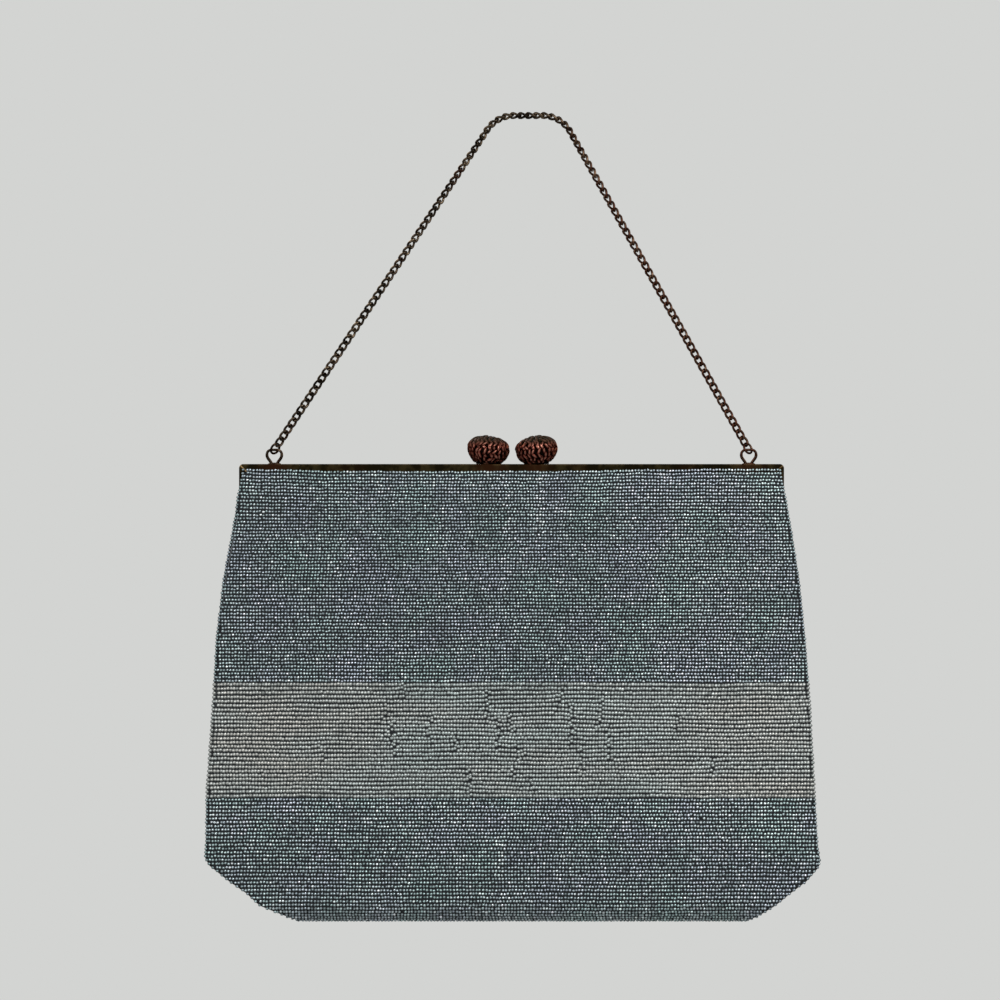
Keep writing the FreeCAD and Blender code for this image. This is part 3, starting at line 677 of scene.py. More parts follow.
@dataclass(frozen=True)
class WallForm:
    """The bead face of a wall: its outline from the front and its depth from the side."""
    bead_half: float = 0.45
    belly_drop: float = 161.8
    base_drop: float = 170.3
    half_depth: float = 14.5
    fold_drop: float = 18.4
    fold_half_depth: float = 6.2
    under_radius: float = 8.5
    upper_stations: Stations = (
        (0.5, 3.1), (2.5, 3.35), (3.0, 4.2), (3.6, 4.75), (5.5, 5.05), (11.0, 5.1), (14.5, 5.3),
        (18.4, 5.75))
    right_stations: Stations = (
        (0.0, 99.8), (3.0, 100.15), (6.0, 100.6), (10.0, 101.5), (13.0, 102.2), (16.0, 102.7),
        (19.0, 103.2), (25.3, 104.3), (43.2, 107.0), (65.5, 109.2), (87.9, 110.7), (123.6, 112.6),
        (141.5, 113.6), (147.0, 114.5), (149.5, 114.1), (154.9, 109.4), (159.4, 103.4), (163.9, 98.0),
        (168.3, 91.2), (170.3, 86.0))
    left_stations: Stations = (
        (0.0, 99.8), (3.0, 100.15), (6.0, 100.6), (10.0, 101.5), (13.0, 102.2), (16.0, 102.5),
        (19.0, 102.9), (25.3, 104.0), (43.2, 107.3), (65.5, 109.8), (87.9, 110.9), (123.6, 113.3),
        (141.5, 113.5), (146.0, 113.9), (149.0, 112.2), (154.9, 104.8), (159.4, 98.3), (163.9, 93.6),
        (168.3, 83.4), (170.3, 78.0))
    wave_height: float = 0.55
    wave_top: tuple[float, float] = (12.0, 40.0)
    wave_foot: tuple[float, float] = (168.0, 150.0)
    wave_end: tuple[float, float] = (114.0, 92.0)

    def belly_radius(self) -> float:
        """The radius of the wall's long curve.

        Returns:
            The radius in millimetres.
        """
        growth = self.half_depth - self.fold_half_depth
        height = self.belly_drop - self.fold_drop
        return (growth ** 2 + height ** 2) / (2 * growth)

    def depth(self, drop: float) -> float:
        """How far the beads' middles lie from the bag's middle plane, above the under-curl.

        Args:
            drop: the height, down from the frame's top.

        Returns:
            The depth, without the waves.
        """
        if drop < self.fold_drop:
            return along_stations(self.upper_stations, drop)
        radius = self.belly_radius()
        face = math.sqrt(radius ** 2 - (self.belly_drop - drop) ** 2) - (radius - self.half_depth)
        return face - self.bead_half

    def at_run(self, run: float) -> tuple[float, float, float]:
        """A place along the wall, measured down it and then round the under-curl.

        Args:
            run: the length from the frame's top.

        Returns:
            The depth, the drop and the slope of the face: 0 upright, 90 degrees facing down.
        """
        if run <= self.belly_drop:
            return self.depth(run), run, 0.0
        radius = self.under_radius - self.bead_half
        angle = min(math.pi / 2, (run - self.belly_drop) / radius)
        middle = self.half_depth - self.under_radius
        return middle + radius * math.cos(angle), self.belly_drop + radius * math.sin(angle), angle

    def full_run(self) -> float:
        """The length of the wall down to the base's edge."""
        return self.belly_drop + math.pi / 2 * (self.under_radius - self.bead_half)

    def half_width(self, drop: float, left: bool) -> float:
        """The outline's reach to the left or right."""
        return along_stations(self.left_stations if left else self.right_stations, drop)

    def ends(self, drop: float, margin: float = 0.0) -> tuple[float, float]:
        """The outline's left and right ends at a height, moved in by a margin."""
        return margin - self.half_width(drop, True), self.half_width(drop, False) - margin

    def billow(self, seed: float, x: float, drop: float) -> float:
        """The cloth's own shallow waves, still at the edges.

        Args:
            seed: the wall's own number.
            x: the place across.
            drop: the place down.

        Returns:
            How far the wall stands out there.
        """
        inside = smooth_step(*self.wave_top, drop) * smooth_step(*self.wave_foot, drop)
        reach = smooth_step(*self.wave_end, abs(x))
        waves = wander(seed, x / 42, drop / 30) + 0.4 * wander(seed + 3, x / 15, drop / 22)
        return self.wave_height * inside * reach * waves

    def spot(self, side: Side, seed: float, x: float, run: float, inset: float = 0.0) -> Vector:
        """A place on the wall.

        Args:
            side: which wall.
            seed: the wall's own waves.
            x: the place across.
            run: the place down the wall.
            inset: how far inside the beads' middles.

        Returns:
            The bag place.
        """
        depth, drop, slope = self.at_run(run)
        depth += self.billow(seed, x, drop) - inset * math.cos(slope)
        return Vector((x, side.value * depth, -drop + inset * math.sin(slope)))


# Beaded walls

@dataclass(frozen=True)
class BeadField:
    """A stretch of rows with one setting."""
    name: str
    start_run: float
    end_run: float
    row_pitch: float
    bead_pitch: float
    girth: Place
    jitter: float
    tilt: float
    banded: bool


@dataclass(frozen=True)
class RowBreak:
    """A short place in the band where the rows slip past each other."""
    x: float
    top: float
    foot: float
    step: float
    reach: float = 4.5
    fade: tuple[float, float] = (2.0, 1.0)
    shift: float = 0.22
    sway: float = 1.2
    sway_length: float = 6.0
    jumble: tuple[float, float] = (2.4, 0.3)

    def slip(self, x: float, drop: float) -> tuple[float, float]:
        """How the rows lie near the break.

        Args:
            x: the place across.
            drop: the place down.

        Returns:
            How far the rows slip, in row pitches, and how jumbled their beads are from 0 to 1.
        """
        before, after = self.fade
        inside = smooth_step(self.top - before, self.top + after, drop)
        inside *= smooth_step(self.foot + before, self.foot - after, drop)
        gap = x - self.x - self.sway * wander(self.x, drop / self.sway_length, 0.5)
        slip = self.shift * self.step * math.copysign(math.exp(-abs(gap) / self.reach), gap)
        return inside * slip, inside * smooth_step(*self.jumble, abs(gap))


class BeadSetter:
    """Sets one bead on every point of a cloud and keeps each bead's own numbers."""

    def __init__(self) -> None:
        """Makes the cut bead and the setting."""
        bm = bmesh.new()
        radius = 0.5 * MILLIMETRE
        upright = Matrix.Rotation(math.pi / 2, 4, "X")
        bmesh.ops.create_icosphere(bm, subdivisions=1, radius=radius, matrix=upright)
        # Each point's crest share, 0 round the bead's middle and 1 at its poles; the finish paints shade
        # where it is low.
        crest = bm.verts.layers.float.new("crest")
        # The points between an icosphere's poles lie at this share of its radius.
        ring_share = math.sqrt(0.2)
        for vert in bm.verts:
            vert[crest] = (abs(vert.co.y) / radius - ring_share) / (1 - ring_share)
        for face in bm.faces:
            face.smooth = True
        mesh = bpy.data.meshes.new("cut_bead")
        bm.to_mesh(mesh)
        bm.free()
        self.bead = bpy.data.objects.new("cut_bead", mesh)
        bpy.context.scene.collection.objects.link(self.bead)
        self.group = bpy.data.node_groups.new("bead_setting", "GeometryNodeTree")
        self._fill_group()

    def _fill_group(self) -> None:
        """Lays out the setting's nodes."""
        group = self.group
        group.interface.new_socket("Geometry", in_out="INPUT", socket_type="NodeSocketGeometry")
        group.interface.new_socket("Geometry", in_out="OUTPUT", socket_type="NodeSocketGeometry")
        start = group.nodes.new("NodeGroupInput")
        end = group.nodes.new("NodeGroupOutput")
        source = group.nodes.new("GeometryNodeObjectInfo")
        source.inputs["Object"].default_value = self.bead
        setting = group.nodes.new("GeometryNodeInstanceOnPoints")
        real = group.nodes.new("GeometryNodeRealizeInstances")
        for key, socket in (("turn", "Rotation"), ("girth", "Scale")):
            reading = group.nodes.new("GeometryNodeInputNamedAttribute")
            reading.data_type = "FLOAT_VECTOR"
            reading.inputs["Name"].default_value = key
            group.links.new(reading.outputs["Attribute"], setting.inputs[socket])
        group.links.new(start.outputs[0], setting.inputs["Points"])
        group.links.new(source.outputs["Geometry"], setting.inputs["Instance"])
        group.links.new(setting.outputs[0], real.inputs[0])
        group.links.new(real.outputs[0], end.inputs[0])

    def set_beads(self, points: bpy.types.Object, name: str) -> bpy.types.Object:
        """Turns a point cloud into beads.

        Args:
            points: the cloud, which is removed.
            name: the name of the bead piece.

        Returns:
            The beads as one mesh object.
        """
        modifier = points.modifiers.new("setting", "NODES")
        modifier.node_group = self.group
        graph = bpy.context.evaluated_depsgraph_get()
        cloud = points.evaluated_get(graph)
        mesh = bpy.data.meshes.new_from_object(cloud, preserve_all_data_layers=True, depsgraph=graph)
        mesh.name = name
        for key in ("turn", "girth"):
            layer = mesh.attributes.get(key)
            if layer:
                mesh.attributes.remove(layer)
        obj = bpy.data.objects.new(name, mesh)
        bpy.context.scene.collection.objects.link(obj)
        bpy.data.objects.remove(points)
        lay_flat_map(obj)
        return obj

    def clear_away(self) -> None:
        """Removes the pattern bead once every field is set."""
        bpy.data.objects.remove(self.bead)


@dataclass
class BeadedWall:
    """One wall of the bag: dark net cloth and the rows of beads sewn to it."""
    side: Side
    seed: int
    form: WallForm
    fields: tuple[BeadField, ...]
    breaks: tuple[RowBreak, ...]
    band_drops: tuple[float, float] = (81.2, 123.9)
    band_fade: float = 0.8
    glint_streaks: tuple[Place, ...] = ((-2.4, 0.0, 45.0), (10.6, 0.0, 30.0), (-4.3, 138.0, 171.0))
    glint_streak_half_width: float = 1.9
    glint_streak_share: float = 0.45
    climbs: Stations = (
        (-101.0, 0.75), (-88.0, 0.6), (-70.0, 0.2), (-45.0, 0.0), (32.0, 0.1), (48.0, 0.6),
        (101.0, 0.8))
    brighter_right: tuple[float, float] = (15.0, 75.0)
    below_band: tuple[float, float] = (122.0, 126.0)
    glint_share: float = 0.07
    missing_share: float = 0.0003
    least_gap: float = 0.6
    end_inset: float = 0.3
    bar_clear: float = 4.68
    cloth_top: float = 1.3
    cloth_inset: float = 0.42
    cloth_margin: float = 0.05
    cloth_thickness: float = 0.25

    def name(self) -> str:
        """The wall's name."""
        return self.side.name.lower()

    def band_share(self, drop: float) -> float:
        """1 inside the band and 0 outside it."""
        (top, foot), fade = self.band_drops, self.band_fade
        return smooth_step(top - fade, top + fade, drop) * smooth_step(foot + fade, foot - fade, drop)

    def row_shift(self, x: float, drop: float, pitch: float) -> tuple[float, float]:
        """How far a row strays at a place.

        Args:
            x: the place across.
            drop: the row's height.
            pitch: the row pitch.

        Returns:
            The stray, and how jumbled the beads are there from 0 to 1.
        """
        stray = 0.22 * wander(self.seed + 1, x / 34, drop / 26)
        stray += 0.08 * wander(self.seed + 2, x / 9, drop / 5)
        stray += 0.3 * wander(self.seed + 12, x / 11, drop / 8) * smooth_step(16.0, 3.0, drop)
        stray -= along_stations(self.climbs, -self.side.value * x) * smooth_step(26.0, 4.0, drop)
        jumble = 0.0
        share = self.band_share(drop)
        if share > 0:
            stray += share * 0.35 * wander(self.seed + 4, x / 18, drop / 7)
            for each in self.breaks:
                slip, mess = each.slip(x, drop)
                stray += share * pitch * slip
                jumble = max(jumble, share * mess)
        return stray, jumble

    def band_tint(self, chance: random.Random, x: float, drop: float,
                  patch: float) -> tuple[float, float]:
        """The brightness and cast of a bead in the band, which is mixed at the band's edges.

        Args:
            chance: the field's random draws.
            x: the place across.
            drop: the place down.
            patch: how bright the patch round the bead is.

        Returns:
            Both, about 0 to 1.
        """
        top, foot = self.band_drops
        edge = smooth_step(7.0, 0.0, drop - top + 2.5 * wander(self.seed + 14, x / 22, 0.5))
        low_edge = smooth_step(4.0, 0.0, foot - drop + 2.0 * wander(self.seed + 15, x / 22, 0.5))
        edge = max(edge, low_edge)
        tint = 0.5 - 0.1 * edge + 0.07 * patch + chance.gauss(0, 0.07 + 0.12 * edge)
        tint += 0.08 * smooth_step(*self.brighter_right, x)
        cast = 0.42 + 0.35 * smooth_step(30.0, 95.0, abs(x))
        cast += 0.45 * wander(self.seed + 8, x / 26, drop / 9)
        return tint, cast + chance.gauss(0, 0.05)

    def steel_tint(self, chance: random.Random, x: float, drop: float,
                   patch: float) -> tuple[float, float]:
        """The brightness and cast of a steel bead: its brightness spreads at random, partly its own tone
        and partly painted sparkle, with painted glints on a few beads and along upright streak lines.

        Args:
            chance: the field's random draws.
            x: the place across.
            drop: the place down.
            patch: how bright the patch round the bead is.

        Returns:
            Both, about 0 to 1.
        """
        # The random spread is partly the beads' own tone and partly painted sparkle.
        tint = 0.39 + 0.1 * patch + chance.gauss(0, 0.13)
        below = smooth_step(*self.below_band, drop)
        tint += 0.13 * (1 - 0.6 * below) * smooth_step(*self.brighter_right, x)
        tint += 0.06 * smooth_step(24.0, 8.0, drop) + 0.05 * smooth_step(56.0, 76.0, drop) * (1 - below)
        tint += below * (0.03 + 0.13 * smooth_step(146.0, 124.0, drop))
        # A few beads get painted glints.
        if chance.random() < self.glint_share:
            tint += chance.uniform(0.2, 0.5)
        # Painted glints on beads along short upright lines.
        for place, top, foot in self.glint_streaks:
            near = top < drop < foot and abs(x - place) < self.glint_streak_half_width
            if near and chance.random() < self.glint_streak_share:
                tint += 0.35
        cast = 0.5 + 0.75 * wander(self.seed + 7, x / 13, drop / 11) + chance.gauss(0, 0.12)
        return tint, cast

    def bead_tint(self, chance: random.Random, x: float, drop: float,
                  banded: bool) -> tuple[float, float]:
        """A bead's brightness and colour cast.

        Args:
            chance: the field's random draws.
            x: the place across.
            drop: the place down.
            banded: whether it is in the band.

        Returns:
            Both, from 0 to 1.
        """
        patch = wander(self.seed + 5, x / 17, drop / 13) + 0.5 * wander(self.seed + 6, x / 6, drop / 5)
        tint, cast = (self.band_tint if banded else self.steel_tint)(chance, x, drop, patch)
        return clamp(tint), clamp(cast)

    def rows(self, field: BeadField) -> Iterator[float]:
        """The runs of a field's rows.

        Args:
            field: the rows' setting.

        Returns:
            The run of each row, from the top.
        """
        count = max(1, round((field.end_run - field.start_run) / field.row_pitch))
        step = (field.end_run - field.start_run) / count
        for number in range(count):
            yield field.start_run + (number + 0.5) * step

    def row_places(self, left: float, right: float, pitch: float, drop: float) -> list[float]:
        """Where a row's beads sit across: on wandering columns, with one at each end.

        Args:
            left: the row's left end.
            right: its right end.
            pitch: the bead pitch.
            drop: the row's height.

        Returns:
            The places from left to right.
        """
        places = [left]
        least = self.least_gap * pitch
        for number in range(math.ceil(left / pitch), int(right / pitch) + 2):
            column = number * pitch
            stray = 0.75 * wander(self.seed + 9, drop / 2.4, column / 30)
            stray += 0.5 * wander(self.seed + 10, drop / 24, column / 40)
            x = column + stray
            if x - places[-1] > least and right - x > least:
                places.append(x)
        return places + [right]

    def string_field(self, field: BeadField) -> bpy.types.Object:
        """Strings one field's rows as a cloud of points.

        Args:
            field: the rows to string.

        Returns:
            The cloud, with each bead's turn, girth, tint and cast.
        """
        chance = random.Random(1000 * self.seed + int(field.start_run))
        bm = bmesh.new()
        turn_layer = bm.verts.layers.float_vector.new("turn")
        girth_layer = bm.verts.layers.float_vector.new("girth")
        tint_layer = bm.verts.layers.float.new("tint")
        cast_layer = bm.verts.layers.float.new("cast")
        for run in self.rows(field):
            drop, slope = self.form.at_run(run)[1:]
            left, right = self.form.ends(drop)
            inner = (left + self.end_inset, right - self.end_inset)
            for x in self.row_places(*inner, field.bead_pitch, drop):
                if chance.random() < self.missing_share:
                    continue
                stray, jumble = self.row_shift(x, drop, field.row_pitch)
                stray += chance.gauss(0, 0.35 * field.jitter * (1 + 3.5 * jumble))
                x += chance.gauss(0, 0.4 * field.jitter * (1 + 1.5 * jumble))
                spot = self.form.spot(self.side, self.seed, x, run + stray)
                spot.y += self.side.value * chance.gauss(0, 0.05 + 0.1 * jumble)
                spot.y = self.side.value * max(abs(spot.y), self.bar_clear)
                vert = bm.verts.new(spot)
                tilt = [chance.gauss(0, field.tilt) for axis in range(3)]
                vert[turn_layer] = (tilt[0] - self.side.value * slope, tilt[1], tilt[2])
                size = chance.gauss(1.0, 0.04)
                vert[girth_layer] = [size * part for part in field.girth]
                tint, cast = self.bead_tint(chance, x, drop, field.banded)
                inside = smooth_step(0.2, 1.6, min(x - left, right - x))
                vert[tint_layer] = tint * (1 - 0.45 * jumble * chance.random()) * (0.45 + 0.55 * inside)
                vert[cast_layer] = cast
        return set_apart(bm, "string_" + field.name)

    def weave_cloth(self) -> bpy.types.Object:
        """The net cloth behind the beads, from the frame's channel to the base.

        Returns:
            The cloth.
        """
        form = self.form
        full = form.full_run()

        def place(share_x: float, share_down: float) -> Vector:
            """A place on the cloth.

            Args:
                share_x: the share across.
                share_down: the share down.

            Returns:
                The bag place.
            """
            run = self.cloth_top + share_down * (full - self.cloth_top)
            left, right = form.ends(form.at_run(run)[1], self.cloth_margin)
            x = left + (right - left) * share_x
            return form.spot(self.side, self.seed, x, run, self.cloth_inset)

        return cut_sheet(self.name() + "_wall_cloth", 96, 150, self.cloth_thickness, place)

    def flat_area(self) -> float:
        """The cut cloth's area, from strips across it.

        Returns:
            The area in square metres.
        """
        form = self.form
        area = 0.0
        strip = 1.0
        run = self.cloth_top
        while run < form.full_run():
            left, right = form.ends(form.at_run(run)[1])
            area += strip * (right - left)
            run += strip
        return area * MILLIMETRE ** 2

    def build(self, setter: BeadSetter, steel: bpy.types.Material, pale: bpy.types.Material,
              net_cloth: bpy.types.Material) -> None:
        """Makes the wall's pieces and hangs them on the bag, all but the front pieces that cross the
        hinge.

        Args:
            setter: sets the beads.
            steel: the finish of the steel beads.
            pale: the finish of the band's beads.
            net_cloth: the finish of the cloth.
        """
        cloth = self.weave_cloth()
        dress(cloth, net_cloth, Slot.BEADS)
        self.hang(cloth, True)
        if self.side is Side.FRONT:
            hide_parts("front_panel", "front_panel_fold", "front_panel_upper")
        else:
            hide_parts("rear_panel")
        self.name() + "_frame"
        self.flat_area()
        for number, field in enumerate(self.fields):
            name = "%s_%s_beads" % (self.name(), field.name)
            beads = setter.set_beads(self.string_field(field), name)
            dress(beads, pale if field.banded else steel, Slot.BEADS)
            self.hang(beads, number == 0)

    def hang(self, obj: bpy.types.Object, crosses_hinge: bool) -> None:
        """Rides a piece on the bag, or, for a front piece that reaches above the hinge line, only bakes
        its placing.

        Args:
            obj: the piece.
            crosses_hinge: whether it reaches above the hinge line.
        """
        if self.side is Side.FRONT and crosses_hinge:
            hang_on_hinge(obj)
        else:
            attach(obj, "bag")


def hang_on_hinge(obj: bpy.types.Object) -> None:
    """Bakes a front piece's placing into its mesh; it is not bent at the hinge line.

    Args:
        obj: the piece.
    """
    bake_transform(obj)


# Gussets, base, stiffening, lining and cords

@dataclass
class Sides:
    """The pleated gussets and the strip under the bag."""
    form: WallForm
    top_drop: float = 18.4
    fold_top: float = 7.0
    foot_gap: float = 0.4
    fold_foot: float = 3.6
    inset: float = 0.7
    thickness: float = 0.4
    base_half_length: float = 83.0
    base_middle: float = 3.8

    def gusset(self, left: bool) -> bpy.types.Object:
        """One gusset: cloth from wall to wall along the outline, folded inwards.

        Args:
            left: which end of the bag.

        Returns:
            The gusset's cloth.
        """
        form = self.form
        sign = -1 if left else 1
        full = form.full_run()

        def place(share_x: float, share_down: float) -> Vector:
            """A place on the cloth.

            Args:
                share_x: the share across.
                share_down: the share down.

            Returns:
                The bag place.
            """
            run = self.top_drop + share_down * (full - self.foot_gap - self.top_drop)
            depth, drop, slope = form.at_run(run)
            across = 2 * share_x - 1
            fold = self.fold_top + (self.fold_foot - self.fold_top) * share_down
            fold *= 1 - smooth_step(0.84, 1.0, share_down)
            pleat = 1 - abs(across) ** 1.15
            reach = form.half_width(drop, left) - self.inset - fold * pleat
            pucker = 0.3 * wander(40 + sign, across * 2.0, drop / 4.5)
            pucker += 0.16 * wander(44 + sign, across * 5.0, drop / 1.8)
            pucker *= 1 - abs(across) ** 3
            lift = 0.25 * math.sin(slope)
            return Vector((sign * (reach + pucker), across * (depth - 0.35), -drop + lift))

        return cut_sheet(("left" if left else "right") + "_gusset_cloth", 24, 110, self.thickness, place)

    def base(self) -> bpy.types.Object:
        """The strip that closes the bag underneath.

        Returns:
            The strip.
        """
        form = self.form
        half = form.half_depth - form.under_radius

        def place(share_x: float, share_down: float) -> Vector:
            """A place on the cloth.

            Args:
                share_x: the share across.
                share_down: the share down.

            Returns:
                The bag place.
            """
            across = 2 * share_x - 1
            along = 2 * share_down - 1
            sag = 0.3 * (1 - across ** 2) + 0.15 * wander(51, along * 9, across)
            x = self.base_middle + along * self.base_half_length
            return Vector((x, across * (half + 0.5), -form.base_drop + 0.75 - sag))

        return cut_sheet("base_cloth", 16, 90, self.thickness, place)

    def build(self, cloth: bpy.types.Material) -> None:
        """Makes the gussets and the base.

        Args:
            cloth: their finish.
        """
        for left in (True, False):
            piece = self.gusset(left)
            dress(piece, cloth, Slot.CLOTH)
            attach(piece, "bag")
            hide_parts("left_gusset" if left else "right_gusset")
        piece = self.base()
        dress(piece, cloth, Slot.CLOTH)
        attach(piece, "bag")
        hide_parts("base_strip")


@dataclass
class Stiffening:
    """Buckram sheets behind the walls' cloth, from the hinge line to the under-curl."""
    form: WallForm
    top_drop: float = 19.2
    foot_gap: float = 0.8
    side_margin: float = 4.0
    inset: float = 1.5
    thickness: float = 0.4

    def sheet(self, side: Side, seed: float) -> bpy.types.Object:
        """The stiffening of one wall, in step with the wall's own waves.

        Args:
            side: which wall.
            seed: the wall's own number.

        Returns:
            The sheet.
        """
        form = self.form

        def place(share_x: float, share_down: float) -> Vector:
            """A place on the cloth.

            Args:
                share_x: the share across.
                share_down: the share down.

            Returns:
                The bag place.
            """
            drop = self.top_drop + share_down * (form.belly_drop - self.foot_gap - self.top_drop)
            left, right = form.ends(drop, self.side_margin)
            return form.spot(side, seed, left + (right - left) * share_x, drop, self.inset)

        return cut_sheet(side.name.lower() + "_buckram", 64, 80, self.thickness, place)

    def build(self, buckram: bpy.types.Material) -> None:
        """Makes both sheets.

        Args:
            buckram: their finish.
        """
        for side, seed in WALL_SEEDS.items():
            piece = self.sheet(side, seed)
            dress(piece, buckram, Slot.CARD)
            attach(piece, "bag")
            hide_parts(side.name.lower() + "_card")


@dataclass
class Lining:
    """Two satin sheets inside the walls, gathered a little under the frame."""
    form: WallForm
    top_drop: float = 1.4
    side_gap: float = 2.4
    gusset_gap: float = 4.7
    channel_gap: float = 0.9
    gap: float = 1.7
    least_depth: float = 0.3
    gather: float = 5.5
    gather_depth: float = 0.24
    thickness: float = 0.2
    foot_drop: float = 165.5

    def sheet(self, side: Side) -> bpy.types.Object:
        """The lining of one wall.

        Args:
            side: which wall.

        Returns:
            The sheet, from the channel to the floor.
        """
        form = self.form

        def place(share_x: float, share_down: float) -> Vector:
            """A place on the cloth.

            Args:
                share_x: the share across.
                share_down: the share down.

            Returns:
                The bag place.
            """
            drop = self.top_drop + share_down * (self.foot_drop - self.top_drop)
            depth = form.depth(min(drop, form.belly_drop))
            inside = depth - self.channel_gap - self.gap * smooth_step(3.0, 24.0, drop)
            inside *= 1 - 0.9 * smooth_step(148.0, self.foot_drop, drop)
            half = min(form.half_width(drop, True), form.half_width(drop, False)) - self.side_gap
            half -= self.gusset_gap * smooth_step(11.0, 18.0, drop)
            x = (2 * share_x - 1) * half
            phase = 2 * math.pi * x / self.gather + 1.5 * wander(61, x / 20, 0.5)
            pucker = self.gather_depth * math.sin(phase)
            pucker *= smooth_step(60.0, 4.0, drop)
            loose = 0.5 * wander(63 + side.value, x / 25, drop / 30) * smooth_step(20.0, 50.0, drop)
            reach = max(self.least_depth, inside - 0.25 + pucker + loose)
            return Vector((x, side.value * reach, -drop))

        return cut_sheet(side.name.lower() + "_lining_cloth", 160, 60, self.thickness, place)

    def build(self, satin: bpy.types.Material) -> None:
        """Makes both sheets.

        Args:
            satin: their finish.
        """
        for side in Side:
            piece = self.sheet(side)
            dress(piece, satin, Slot.LINING)
            if side is Side.FRONT:
                hang_on_hinge(piece)
                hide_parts("lining")
            else:
                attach(piece, "bag")


@dataclass
class PackingCords:
    """Twisted cords that hold the cloth in the channels."""
    half_length: float = 98.0
    drop: float = 1.95
    depth: float = 2.9
    strand: float = 0.24
    strand_sides: int = 5
    lay: float = 0.21
    pitch: float = 2.6
    steps_per_turn: int = 8

    def cord(self, side: Side) -> bpy.types.Object:
        """Two strands wound along the channel.

        Args:
            side: which half of the frame.

        Returns:
            The cord.
        """
        bm = bmesh.new()
        turns = round(2 * self.half_length / self.pitch)
        middle = Vector((-self.half_length, side.value * self.depth, -self.drop))
        for phase in (0.0, math.pi):
            away = Vector((0.0, math.cos(phase), math.sin(phase))) * self.lay
            place = Matrix.Translation(middle + away) @ Matrix.Rotation(math.pi / 2, 4, "Y")
            ring = bmesh.ops.create_circle(bm, cap_ends=False, segments=self.strand_sides,
                                           radius=self.strand, matrix=place)
            edges = list({edge for vert in ring["verts"] for edge in vert.link_edges})
            steps = turns * self.steps_per_turn
            bmesh.ops.spin(bm, geom=ring["verts"] + edges, cent=middle, axis=(1.0, 0.0, 0.0),
                           dvec=(2 * self.half_length / steps, 0.0, 0.0), angle=2 * math.pi * turns,
                           steps=steps, use_merge=False, use_duplicate=False)
        bmesh.ops.holes_fill(bm, edges=[edge for edge in bm.edges if edge.is_boundary], sides=0)
        bmesh.ops.recalc_face_normals(bm, faces=bm.faces[:])
        return set_apart(bm, side.name.lower() + "_twisted_cord")

    def build(self, cloth: bpy.types.Material) -> None:
        """Makes both cords.

        Args:
            cloth: their finish.
        """
        for side in Side:
            piece = self.cord(side)
            dress(piece, cloth, Slot.CLOTH)
            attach(piece, "front_half" if side is Side.FRONT else "bag")
            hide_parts(side.name.lower() + "_packing_cord")


# Metalwork

